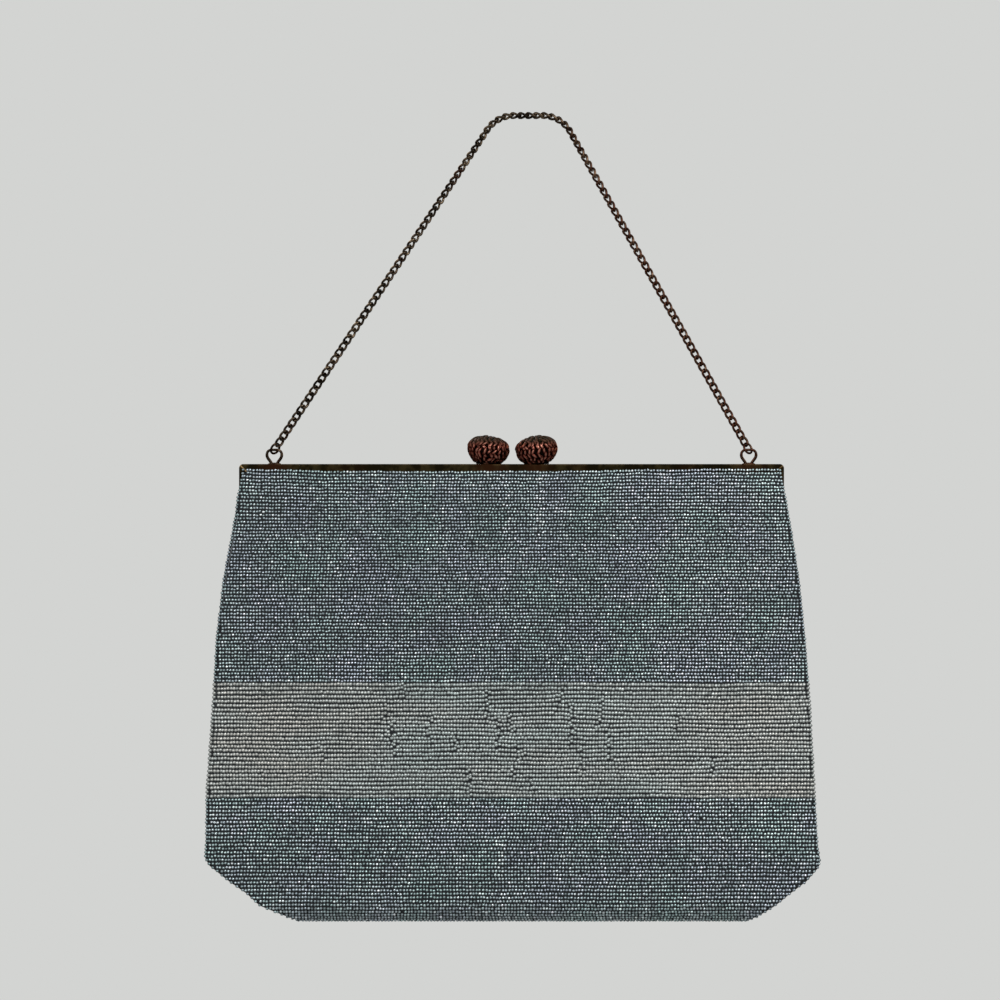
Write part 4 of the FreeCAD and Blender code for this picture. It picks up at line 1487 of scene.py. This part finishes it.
@dataclass
class LeafKnob:
    """A kiss-lock knob covered in overlapping leaves."""
    name: str
    node: str
    body: str
    centre: Place
    lean: float
    seed: float
    radius: float = 7.6
    crown: float = 4.4
    skirt: float = 7.0
    skirt_cut: float = 5.2
    core_share: float = 0.93
    core_steps: int = 16
    foot_drop: float = 5.45
    foot_radius: float = 4.2
    collar: Stations = ((0.0, 0.05), (4.5, 0.05), (4.75, 0.35), (4.6, 0.75), (4.0, 1.25), (0.0, 1.5))
    leaf_rows: tuple[tuple[float, int, float], ...] = (
        (-50.0, 16, 0.8), (-38.0, 20, 0.9), (-25.0, 22, 1.0), (-11.0, 24, 1.0), (4.0, 24, 1.0),
        (18.0, 24, 1.0), (32.0, 22, 1.0), (46.0, 18, 0.95), (60.0, 13, 0.85), (77.0, 7, 0.7))
    leaf_cover: float = 0.62
    leaf_length: float = 1.6
    leaf_height: float = 0.6
    slant: float = 0.42
    loose_tilt: float = 0.95

    def skin(self, angle: float) -> tuple[float, float]:
        """The radius and height of the knob's skin at an angle from its widest level."""
        height = self.crown if angle > 0 else self.skirt
        return self.radius * math.cos(angle), height * math.sin(angle)

    def core(self, bm: bmesh.types.BMesh) -> None:
        """Turns the body under the leaves.

        Args:
            bm: the knob's bmesh.
        """
        low = -math.asin(self.skirt_cut / self.skirt)
        foot = -self.foot_drop
        profile = [Vector((0.0, 0.0, foot)), Vector((self.foot_radius, 0.0, foot))]
        for step in range(self.core_steps + 1):
            out, high = self.skin(low + (math.pi / 2 - low) * step / self.core_steps)
            profile.append(Vector((out * self.core_share, 0.0, high * self.core_share)))
        profile[-1].x = 0.0
        turn_profile(bm, profile, Vector((0.0, 0.0, 0.0)))
        bmesh.ops.recalc_face_normals(bm, faces=bm.faces[:])

    def seat(self, bm: bmesh.types.BMesh) -> None:
        """Turns the low upright collar between the knob and the frame, already in bag millimetres."""
        middle = Vector((self.centre[0], self.centre[1], 0.0))
        turn_profile(bm, [middle + Vector((out, 0.0, high)) for out, high in self.collar], middle)

    def leaves(self, bm: bmesh.types.BMesh, ridge: Any) -> None:
        """Lays the rows of slanted leaves, each row leaning the other way.

        Args:
            bm: the knob's bmesh.
            ridge: the layer that keeps how high each point stands.
        """
        for row, (degrees, count, share) in enumerate(self.leaf_rows):
            angle = math.radians(degrees)
            out, high = self.skin(angle)
            ahead_out, ahead_high = self.skin(angle + 0.02)
            rising = Vector((ahead_out - out, 0.0, ahead_high - high)).normalized()
            outward = Vector((rising.z, 0.0, -rising.x))
            axes = Matrix((rising, Vector((0, 1, 0)), outward)).transposed().to_4x4()
            slant = self.slant if row % 2 else -self.slant
            width = self.leaf_cover * 2 * math.pi * max(out, 1.2) / count
            for number in range(count):
                sway = wander(self.seed + row, number * 1.37, 0.5)
                tilt = wander(self.seed + 30 + row, number * 1.71, 0.5)
                heft = wander(self.seed + 60 + row, number * 1.53, 0.5)
                turn = 2 * math.pi * (number + 0.5 * (row % 2) + 0.5 * sway) / count
                seat = Matrix.Translation(Vector((out, 0.0, high)) + outward * (0.35 * heft - 0.33))
                twist = Matrix.Rotation(slant + self.loose_tilt * tilt, 4, "Z")
                length = share * (self.leaf_length + 0.5 * heft)
                size = (length, width * (0.58 + 0.2 * sway), self.leaf_height)
                shape = Matrix.Rotation(turn, 4, "Z") @ seat @ axes @ twist
                shape = shape @ Matrix.Diagonal((*size, 1.0))
                made = bmesh.ops.create_uvsphere(bm, u_segments=8, v_segments=6, radius=1.0, matrix=shape)
                back = shape.inverted()
                # Each point's height on its leaf, which the finish turns into painted shade and
                # highlights.
                for vert in made["verts"]:
                    vert[ridge] = max(0.0, (back @ vert.co).z)

    def build(self, copper: bpy.types.Material) -> None:
        """Makes the knob where its solid stands.

        Args:
            copper: its finish.
        """
        bm = bmesh.new()
        ridge = bm.verts.layers.float.new("ridge")
        self.core(bm)
        self.leaves(bm, ridge)
        place = Matrix.Translation(self.centre) @ Matrix.Rotation(math.radians(self.lean), 4, "Y")
        bmesh.ops.transform(bm, matrix=place, verts=bm.verts[:])
        self.seat(bm)
        bmesh.ops.recalc_face_normals(bm, faces=bm.faces[:])
        piece = set_apart(bm, self.name)
        dress(piece, copper, Slot.KNOB)
        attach(piece, self.body)
        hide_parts(self.node)


@dataclass
class ChainHandle:
    """The curb chain: one twisted link, repeated along two runs and over the top."""
    rise: float = 130.0
    hold_width: float = 24.0
    hold_offset: float = 6.5
    hold_bend: float = 12.0
    pitch: float = 2.87
    wire: float = 0.95
    half_width: float = 1.1
    play: float = 0.04
    roll_at_top: float = 60.0
    roll_at_ring: float = 5.0
    ring_radius: float = 2.0
    ring_wire: float = 0.42
    eye_x: float = 88.5
    eye_rise: float = 5.3
    link_points: int = 16

    def corner(self, side: int) -> Vector:
        """The corner where a run would meet the top run if the chain didn't bend."""
        return Vector((self.hold_offset + side * self.hold_width / 2, 0.0, self.rise))

    def pull(self, side: int) -> Vector:
        """The direction in which a run pulls on its eye."""
        eye = Vector((side * self.eye_x, 0.0, self.eye_rise))
        return (self.corner(side) - eye).normalized()

    def ring_middle(self, node: str) -> Vector:
        """The middle of a jump ring in bag millimetres."""
        low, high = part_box(node)
        return TO_ROW.inverted() @ ((Vector(low) + Vector(high)) / 2)

    def stretches(self, start: Vector, end: Vector) -> Runs:
        """The chain's line as lengths and turns.

        Args:
            start: its first point.
            end: its last point.

        Returns:
            A length and a turn for each stretch.
        """
        level = Vector((1.0, 0.0, 0.0))
        turns = [self.pull(-1).angle(level), level.angle(-self.pull(1))]
        trims = [self.hold_bend * math.tan(turn / 2) for turn in turns]
        first = (self.corner(-1) - start).length - trims[0]
        last = (end - self.corner(1)).length - trims[1]
        top = self.hold_width - sum(trims)
        return [(first, 0.0), (self.hold_bend * turns[0], turns[0]), (top, 0.0),
                (self.hold_bend * turns[1], turns[1]), (last, 0.0)]

    def point(self, distance: float, start: Vector, runs: Runs) -> tuple[Vector, Vector]:
        """Reads the chain's line at a distance from its start.

        Args:
            distance: how far along the line.
            start: its first point.
            runs: its lengths and turns.

        Returns:
            The place and the heading there.
        """
        spot = start.copy()
        pull = self.pull(-1)
        angle = math.atan2(pull.z, pull.x)
        for length, turn in runs:
            part = min(distance, length)
            if turn:
                after = angle - turn * part / length
                across = math.sin(angle) - math.sin(after)
                up = math.cos(after) - math.cos(angle)
                spot += self.hold_bend * Vector((across, 0.0, up))
                angle = after
            else:
                spot += part * Vector((math.cos(angle), 0.0, math.sin(angle)))
            distance -= part
            if distance <= 0:
                break
        return spot, Vector((math.cos(angle), 0.0, math.sin(angle)))

    def roll(self, distance: float, runs: Runs) -> float:
        """How far the chain has rolled about its line.

        Args:
            distance: how far along the line.
            runs: its lengths and turns.

        Returns:
            The roll in radians.
        """
        first, last = runs[0][0], runs[-1][0]
        total = sum(length for length, turn in runs)
        degrees = self.roll_at_top
        if distance < first:
            degrees = self.roll_at_ring + (self.roll_at_top - self.roll_at_ring) * distance / first
        elif distance > total - last:
            share = (distance - total + last) / last
            degrees = self.roll_at_top - (self.roll_at_top + self.roll_at_ring) * share
        return math.radians(degrees)

    def link(self, half_length: float) -> bpy.types.Mesh:
        """One link: round wire round an oval whose ends lie square to each other.

        Args:
            half_length: half the length of the wire's middle line.

        Returns:
            The link's mesh.
        """
        places = []
        for number in range(self.link_points):
            angle = 2 * math.pi * number / self.link_points
            places.append((half_length * math.cos(angle), self.half_width * math.sin(angle),
                           self.half_width / 2 * math.sin(2 * angle)))
        return bend_wire(places, [1.0] * self.link_points, self.wire / 2, 1, True)

    def lay_link(self, bm: bmesh.types.BMesh, link: bpy.types.Mesh, line: tuple[Vector, Vector],
                 roll: float) -> None:
        """Adds one link to a stretch.

        Args:
            bm: the stretch's bmesh.
            link: the link's mesh.
            line: the place and heading of the chain's line.
            roll: how far the link is rolled about it.
        """
        spot, heading = line
        towards_front = Vector((0.0, -1.0, 0.0))
        width = math.cos(roll) * towards_front.cross(heading) + math.sin(roll) * towards_front
        axes = Matrix((heading, width, heading.cross(width))).transposed().to_4x4()
        held = len(bm.verts)
        bm.from_mesh(link)
        bm.verts.ensure_lookup_table()
        bmesh.ops.transform(bm, matrix=Matrix.Translation(spot) @ axes, verts=bm.verts[held:])

    def build(self, bronze: bpy.types.Material) -> None:
        """Lays the links of the three stretches.

        Args:
            bronze: their finish.
        """
        inset = self.ring_radius - self.ring_wire - self.wire / 2 - self.play
        start = self.ring_middle("left_jump_ring") + inset * self.pull(-1)
        end = self.ring_middle("right_jump_ring") + inset * self.pull(1)
        runs = self.stretches(start, end)
        total = sum(length for length, turn in runs)
        spare = self.wire + self.play
        count = round((total - spare) / self.pitch)
        pitch = (total - spare) / count
        half_length = (pitch + spare) / 2
        link = self.link(half_length)
        groups = {"handle_chain_" + name: bmesh.new() for name in ("left", "top", "right")}
        for number in range(count):
            distance = half_length + number * pitch
            node = "handle_chain_top"
            if distance < runs[0][0]:
                node = "handle_chain_left"
            elif distance > total - runs[-1][0]:
                node = "handle_chain_right"
            line = self.point(distance, start, runs)
            self.lay_link(groups[node], link, line, self.roll(distance, runs))
        bpy.data.meshes.remove(link)
        for node, bm in groups.items():
            bmesh.ops.recalc_face_normals(bm, faces=bm.faces[:])
            piece = set_apart(bm, node + "_links")
            dress(piece, bronze, Slot.CHAIN)
            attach(piece, "handle")
            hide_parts(node)


@dataclass
class LoopEye:
    """A wire loop on the frame: round above, with limbs that draw together in a small foot."""
    node: str
    x: float
    rise: float = 5.3
    half_width: float = 2.75
    bend: float = 1.7
    bend_steps: int = 8
    wire: float = 0.5
    lean: float = 13.0
    limb_length: float = 5.9
    limb_foot: float = 0.9
    limb_steps: int = 12
    limb_swell: float = 0.15
    foot_length: float = 2.5
    foot_depth: float = 0.9
    foot_height: float = 0.6
    foot_sink: float = 0.2

    def line(self) -> list[tuple[float, float]]:
        """One side of the loop, from its foot up to its bar.

        Returns:
            Places across and up, measured from the bar's middle.
        """
        places = []
        for step in range(self.limb_steps + 1):
            share = step / self.limb_steps
            out = self.limb_foot + (self.half_width - self.limb_foot) * smooth_step(0.0, 0.9, share)
            places.append((out, -self.limb_length + share * (self.limb_length - self.bend)))
        for step in range(1, self.bend_steps + 1):
            angle = math.pi / 2 * step / self.bend_steps
            out = self.half_width - self.bend * (1 - math.cos(angle))
            places.append((out, self.bend * (math.sin(angle) - 1)))
        return places

    def loop(self) -> bpy.types.Mesh:
        """The bent wire, from one limb over the top to the other, round its own middle.

        Returns:
            The wire's mesh.
        """
        line = self.line()
        both = [(-out, high) for out, high in line] + line[::-1]
        places = [(out, 0.0, high) for out, high in both]
        swells = [1.0 + self.limb_swell * smooth_step(-1.0, -2.2, high) for out, high in both]
        return bend_wire(places, swells, self.wire, 2, False)

    def foot(self, bm: bmesh.types.BMesh) -> None:
        """Adds the low dome that the limbs stand in.

        Args:
            bm: the eye's bmesh.
        """
        back = self.rise * math.tan(math.radians(self.lean))
        size = Matrix.Diagonal((self.foot_length, self.foot_depth, self.foot_height, 1.0))
        shape = Matrix.Translation((self.x, back, 0.0)) @ size
        dome = bmesh.ops.create_uvsphere(bm, u_segments=20, v_segments=10, radius=1.0, matrix=shape)
        geom = dome["verts"] + list({edge for vert in dome["verts"] for edge in vert.link_edges})
        geom += list({face for vert in dome["verts"] for face in vert.link_faces})
        cut = bmesh.ops.bisect_plane(bm, geom=geom, plane_co=(0.0, 0.0, -self.foot_sink),
                                     plane_no=(0.0, 0.0, 1.0), clear_inner=True)
        rim = [edge for edge in cut["geom_cut"] if isinstance(edge, bmesh.types.BMEdge)]
        bmesh.ops.edgeloop_fill(bm, edges=rim)

    def build(self, bronze: bpy.types.Material) -> None:
        """Makes the loop and its foot where the eye's solid stands.

        Args:
            bronze: its finish.
        """
        bm = bmesh.new()
        wire = self.loop()
        bm.from_mesh(wire)
        bpy.data.meshes.remove(wire)
        lean = Matrix.Rotation(math.radians(self.lean), 4, "X")
        place = Matrix.Translation((self.x, 0.0, self.rise)) @ lean
        bmesh.ops.transform(bm, matrix=place, verts=bm.verts[:])
        self.foot(bm)
        bmesh.ops.recalc_face_normals(bm, faces=bm.faces[:])
        piece = set_apart(bm, self.node + "_loop")
        dress(piece, bronze, Slot.CHAIN)
        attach(piece, "bag")
        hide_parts(self.node)


def dress_nodes(finishes: dict[str, bpy.types.Material]) -> None:
    """Puts finishes on the solids that stay in view.

    Args:
        finishes: a material for each node.
    """
    for node, material in finishes.items():
        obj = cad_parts[node]
        if not obj.material_slots:
            obj.data.materials.append(material)
        for slot in obj.material_slots:
            slot.material = material
        log.info("%s dressed", node)


# Studio

@dataclass
class Studio:
    """The floor, the lights and a camera that looks straight at the front."""
    view_width: float = 0.3724
    distance: float = 2.4
    aim: Place = (-4.3, -4.4, -13.4)
    floor_drop: float = 320.0
    floor_radius: float = 0.62
    floor_dark: Colour = (0.4, 0.405, 0.4)
    floor_light: Colour = (0.43, 0.435, 0.43)
    backdrop: Colour = (0.651, 0.658, 0.645)
    ambient: float = 0.55
    lamp_aim: Place = (0.0, 0.0, -70.0)
    lamps: tuple[tuple[str, Place, float, float], ...] = (
        ("key_lamp", (0.55, -1.1, 0.75), 0.55, 16.0), ("fill_lamp", (-0.8, -1.2, 0.3), 0.7, 8.0),
        ("rear_lamp", (-0.55, 1.1, 0.75), 0.55, 11.0), ("rear_fill", (0.8, 1.2, 0.3), 0.7, 6.0))

    def floor(self) -> None:
        """A pale round floor well below the bag."""
        bm = bmesh.new()
        place = Matrix.Translation((0.0, 0.0, -self.floor_drop))
        radius = self.floor_radius / MILLIMETRE
        bmesh.ops.create_circle(bm, cap_ends=True, segments=96, radius=radius, matrix=place)
        obj = set_apart(bm, "studio_floor")
        net = Net("studio_floor")
        colour = net.mix(net.cloud(8.0, 3.0), self.floor_dark, self.floor_light)
        obj.data.materials.append(net.surface({"Base Color": colour, "Roughness": 0.9}))

    def world(self) -> None:
        """A pale surround for the camera and for reflections, and an even light on the rest."""
        net = Net("studio", bpy.data.worlds)
        bpy.context.scene.world = net.owner
        rays = [net.node("ShaderNodeLightPath", {}, {}, "Is %s Ray" % kind)
                for kind in ("Camera", "Transmission", "Glossy")]
        light = net.node("ShaderNodeBackground", {},
                         {"Color": (1.0, 1.0, 1.0, 1.0), "Strength": self.ambient})
        back = net.node("ShaderNodeBackground", {}, {"Color": (*self.backdrop, 1.0)})
        shown = net.node("ShaderNodeMixShader", {}, {0: reduce(Reading.most, rays), 1: light, 2: back})
        net.end("ShaderNodeOutputWorld", shown)

    def lamp(self, name: str, place: Place, size: float, power: float) -> None:
        """A soft square lamp that faces the bag.

        Args:
            name: its name.
            place: its place in metres from the bag's middle.
            size: its side in metres.
            power: its power in watts.
        """
        data = bpy.data.lights.new(name, "AREA")
        data.shape = "SQUARE"
        data.size = size
        data.energy = power
        obj = bpy.data.objects.new(name, data)
        obj.location = TO_ROW @ Vector(self.lamp_aim) + Vector(place)
        obj.rotation_mode = "QUATERNION"
        obj.rotation_quaternion = (-Vector(place)).to_track_quat("-Z", "Y")
        bpy.context.scene.collection.objects.link(obj)

    def camera(self) -> None:
        """A long lens straight in front of the bag."""
        data = bpy.data.cameras.new("front_camera")
        data.sensor_width = 36.0
        data.lens = data.sensor_width * self.distance / self.view_width
        data.clip_end = 20.0
        obj = bpy.data.objects.new("front_camera", data)
        obj.location = TO_ROW @ Vector(self.aim) - Vector((0.0, self.distance, 0.0))
        obj.rotation_euler = (math.pi / 2, 0.0, 0.0)
        bpy.context.scene.collection.objects.link(obj)
        bpy.context.scene.camera = obj

    def build(self) -> None:
        """Sets up the studio."""
        self.floor()
        self.world()
        for lamp in self.lamps:
            self.lamp(*lamp)
        self.camera()
        bpy.context.scene.view_settings.view_transform = "Standard"


# Putting it together

# Each field's name, first and last run, row pitch, bead pitch, girth, jitter, tilt and banding.
FIELDS = (
    BeadField("top", 2.4, 42.0, 1.245, 1.155, (1.3, 1.0, 1.08), 0.2, 0.2, False),
    BeadField("middle", 42.0, 81.2, 1.325, 1.165, (1.3, 1.0, 1.14), 0.2, 0.2, False),
    BeadField("band", 81.2, 123.9, 1.53, 1.17, (1.62, 1.0, 1.46), 0.16, 0.12, True),
    BeadField("lower", 123.9, 174.2, 1.385, 1.19, (1.33, 1.0, 1.22), 0.2, 0.2, False),
)

# Each break's place across, top, foot and step.
BREAKS = tuple(RowBreak(*row) for row in (
    (-47.0, 88.0, 95.0, 0.8), (-44.0, 96.0, 108.0, -0.7), (-40.0, 80.0, 87.0, 0.6),
    (-30.0, 94.0, 102.0, -0.8), (-20.0, 102.0, 107.0, 0.7), (-16.0, 114.0, 124.0, -0.7),
    (-9.0, 85.0, 95.0, 0.9), (-5.0, 95.0, 106.0, -0.8), (0.0, 93.0, 100.0, 0.8),
    (3.0, 106.0, 111.0, -0.8), (1.0, 113.0, 117.0, 0.6), (8.0, 118.0, 123.0, -0.6),
    (18.0, 84.0, 92.0, 0.7), (22.0, 90.0, 104.0, -0.8), (26.0, 102.0, 115.0, 0.7),
    (33.0, 88.0, 98.0, -0.7), (36.0, 98.0, 110.0, 0.6), (-70.0, 105.0, 110.0, 0.5),
    (62.0, 94.0, 100.0, -0.5), (75.0, 109.0, 115.0, 0.5)))


def build_walls(form: WallForm) -> None:
    """Makes the front and rear walls with their beads.

    Args:
        form: the walls' common form.
    """
    # The rim colour of each bead finish is painted shade between the beads.
    steel = BeadFinish(
        name="cut_steel_beads", dark=(0.115, 0.137, 0.143), middle=(0.385, 0.44, 0.452),
        bright=(0.84, 0.85, 0.85), cool=(0.86, 1.03, 0.99), plain=(0.92, 0.985, 1.0),
        warm=(0.95, 0.95, 1.06), rim=(0.056, 0.064, 0.068), rim_shade_reach=(-0.15, 0.55),
        roughness=0.24).make()
    pale = BeadFinish(
        name="pale_band_beads", dark=(0.18, 0.193, 0.19), middle=(0.37, 0.39, 0.385),
        bright=(0.66, 0.68, 0.67), cool=(0.88, 1.0, 0.99), plain=(0.96, 1.0, 0.99),
        warm=(1.06, 1.0, 0.95), rim=(0.14, 0.151, 0.148), rim_shade_reach=(-0.15, 0.5),
        roughness=0.34).make()
    net_cloth = ClothFinish(
        name="dark_net_cloth", light=(0.02, 0.022, 0.024), dark=(0.006, 0.007, 0.008), thread=0.6,
        roughness=0.85, gloss=0.1, sheen=0.0, upright=False).make()
    setter = BeadSetter()
    for side, seed in WALL_SEEDS.items():
        BeadedWall(side, seed, form, FIELDS, BREAKS).build(setter, steel, pale, net_cloth)
    setter.clear_away()


def build_metalwork() -> None:
    """Makes the knobs, the eyes and the chain, and dresses the frame, rings, posts and rivets."""
    # The brass's edge colour serves the worn rims and the painted highlights at the corners and side
    # ends.
    brass = FrameFinish(
        name="antique_brass", patina=(0.005, 0.0037, 0.0012), worn=(0.022, 0.0165, 0.006),
        copper=(0.03, 0.0085, 0.0034), copper_share=0.2, roughness=0.4, edge=(0.26, 0.17, 0.075)).make()
    bronze = MetalFinish(
        name="chain_bronze", patina=(0.009, 0.0068, 0.0047), worn=(0.1, 0.073, 0.048),
        copper=(0.07, 0.023, 0.013), copper_share=0.25, roughness=0.3, right_copper=0.45).make()
    # The knob's hollow colour is painted shade and its crest colour a painted highlight.
    copper = KnobFinish(
        name="knob_copper", hollow=(0.005, 0.0024, 0.0016), body=(0.058, 0.0125, 0.0085),
        crest=(0.3, 0.125, 0.09), dulling=(0.02, 0.017, 0.009)).make()
    post = MetalFinish(
        name="post_copper", patina=(0.03, 0.012, 0.007), worn=(0.12, 0.06, 0.035),
        copper=(0.08, 0.024, 0.012), copper_share=0.6, roughness=0.4).make()
    LeafKnob("front_leaf_knob", "front_knob", "front_half", (-8.6, 0.6, 6.05), 7.0, 3.1).build(copper)
    LeafKnob("rear_leaf_knob", "rear_knob", "bag", (9.3, -0.6, 6.05), -7.0, 5.3).build(copper)
    LoopEye("left_chain_eye", -88.5).build(bronze)
    LoopEye("right_chain_eye", 88.5).build(bronze)
    ChainHandle().build(bronze)
    dress_nodes({"rear_frame": brass, "front_frame": brass, "left_hinge_rivet": brass,
                 "right_hinge_rivet": brass, "front_knob_post": post, "rear_knob_post": post,
                 "left_jump_ring": bronze, "right_jump_ring": bronze})


def build_inside(form: WallForm) -> None:
    """Makes the gussets, base, stiffening, lining and cords.

    Args:
        form: the walls' common form.
    """
    cloth = ClothFinish(
        name="gusset_cloth", light=(0.16, 0.17, 0.18), dark=(0.05, 0.054, 0.06), thread=0.55,
        roughness=0.75, gloss=0.3, sheen=0.2, upright=True).make()
    card = ClothFinish(
        name="stiffening_buckram", light=(0.62, 0.58, 0.5), dark=(0.4, 0.37, 0.31), thread=0.8,
        roughness=0.85, gloss=0.3, sheen=0.0, upright=False).make()
    satin = SatinFinish("lining_satin", (0.5, 0.48, 0.45), (0.36, 0.345, 0.32)).make()
    Sides(form).build(cloth)
    Stiffening(form).build(card)
    Lining(form).build(satin)
    PackingCords().build(cloth)


def main() -> None:
    """Builds the purse in order."""
    logging.basicConfig(level=logging.INFO, format="%(name)s: %(message)s")
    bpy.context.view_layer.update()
    form = WallForm()
    build_walls(form)
    build_inside(form)
    build_metalwork()
    Studio().build()


if __name__ == "__main__":
    main()
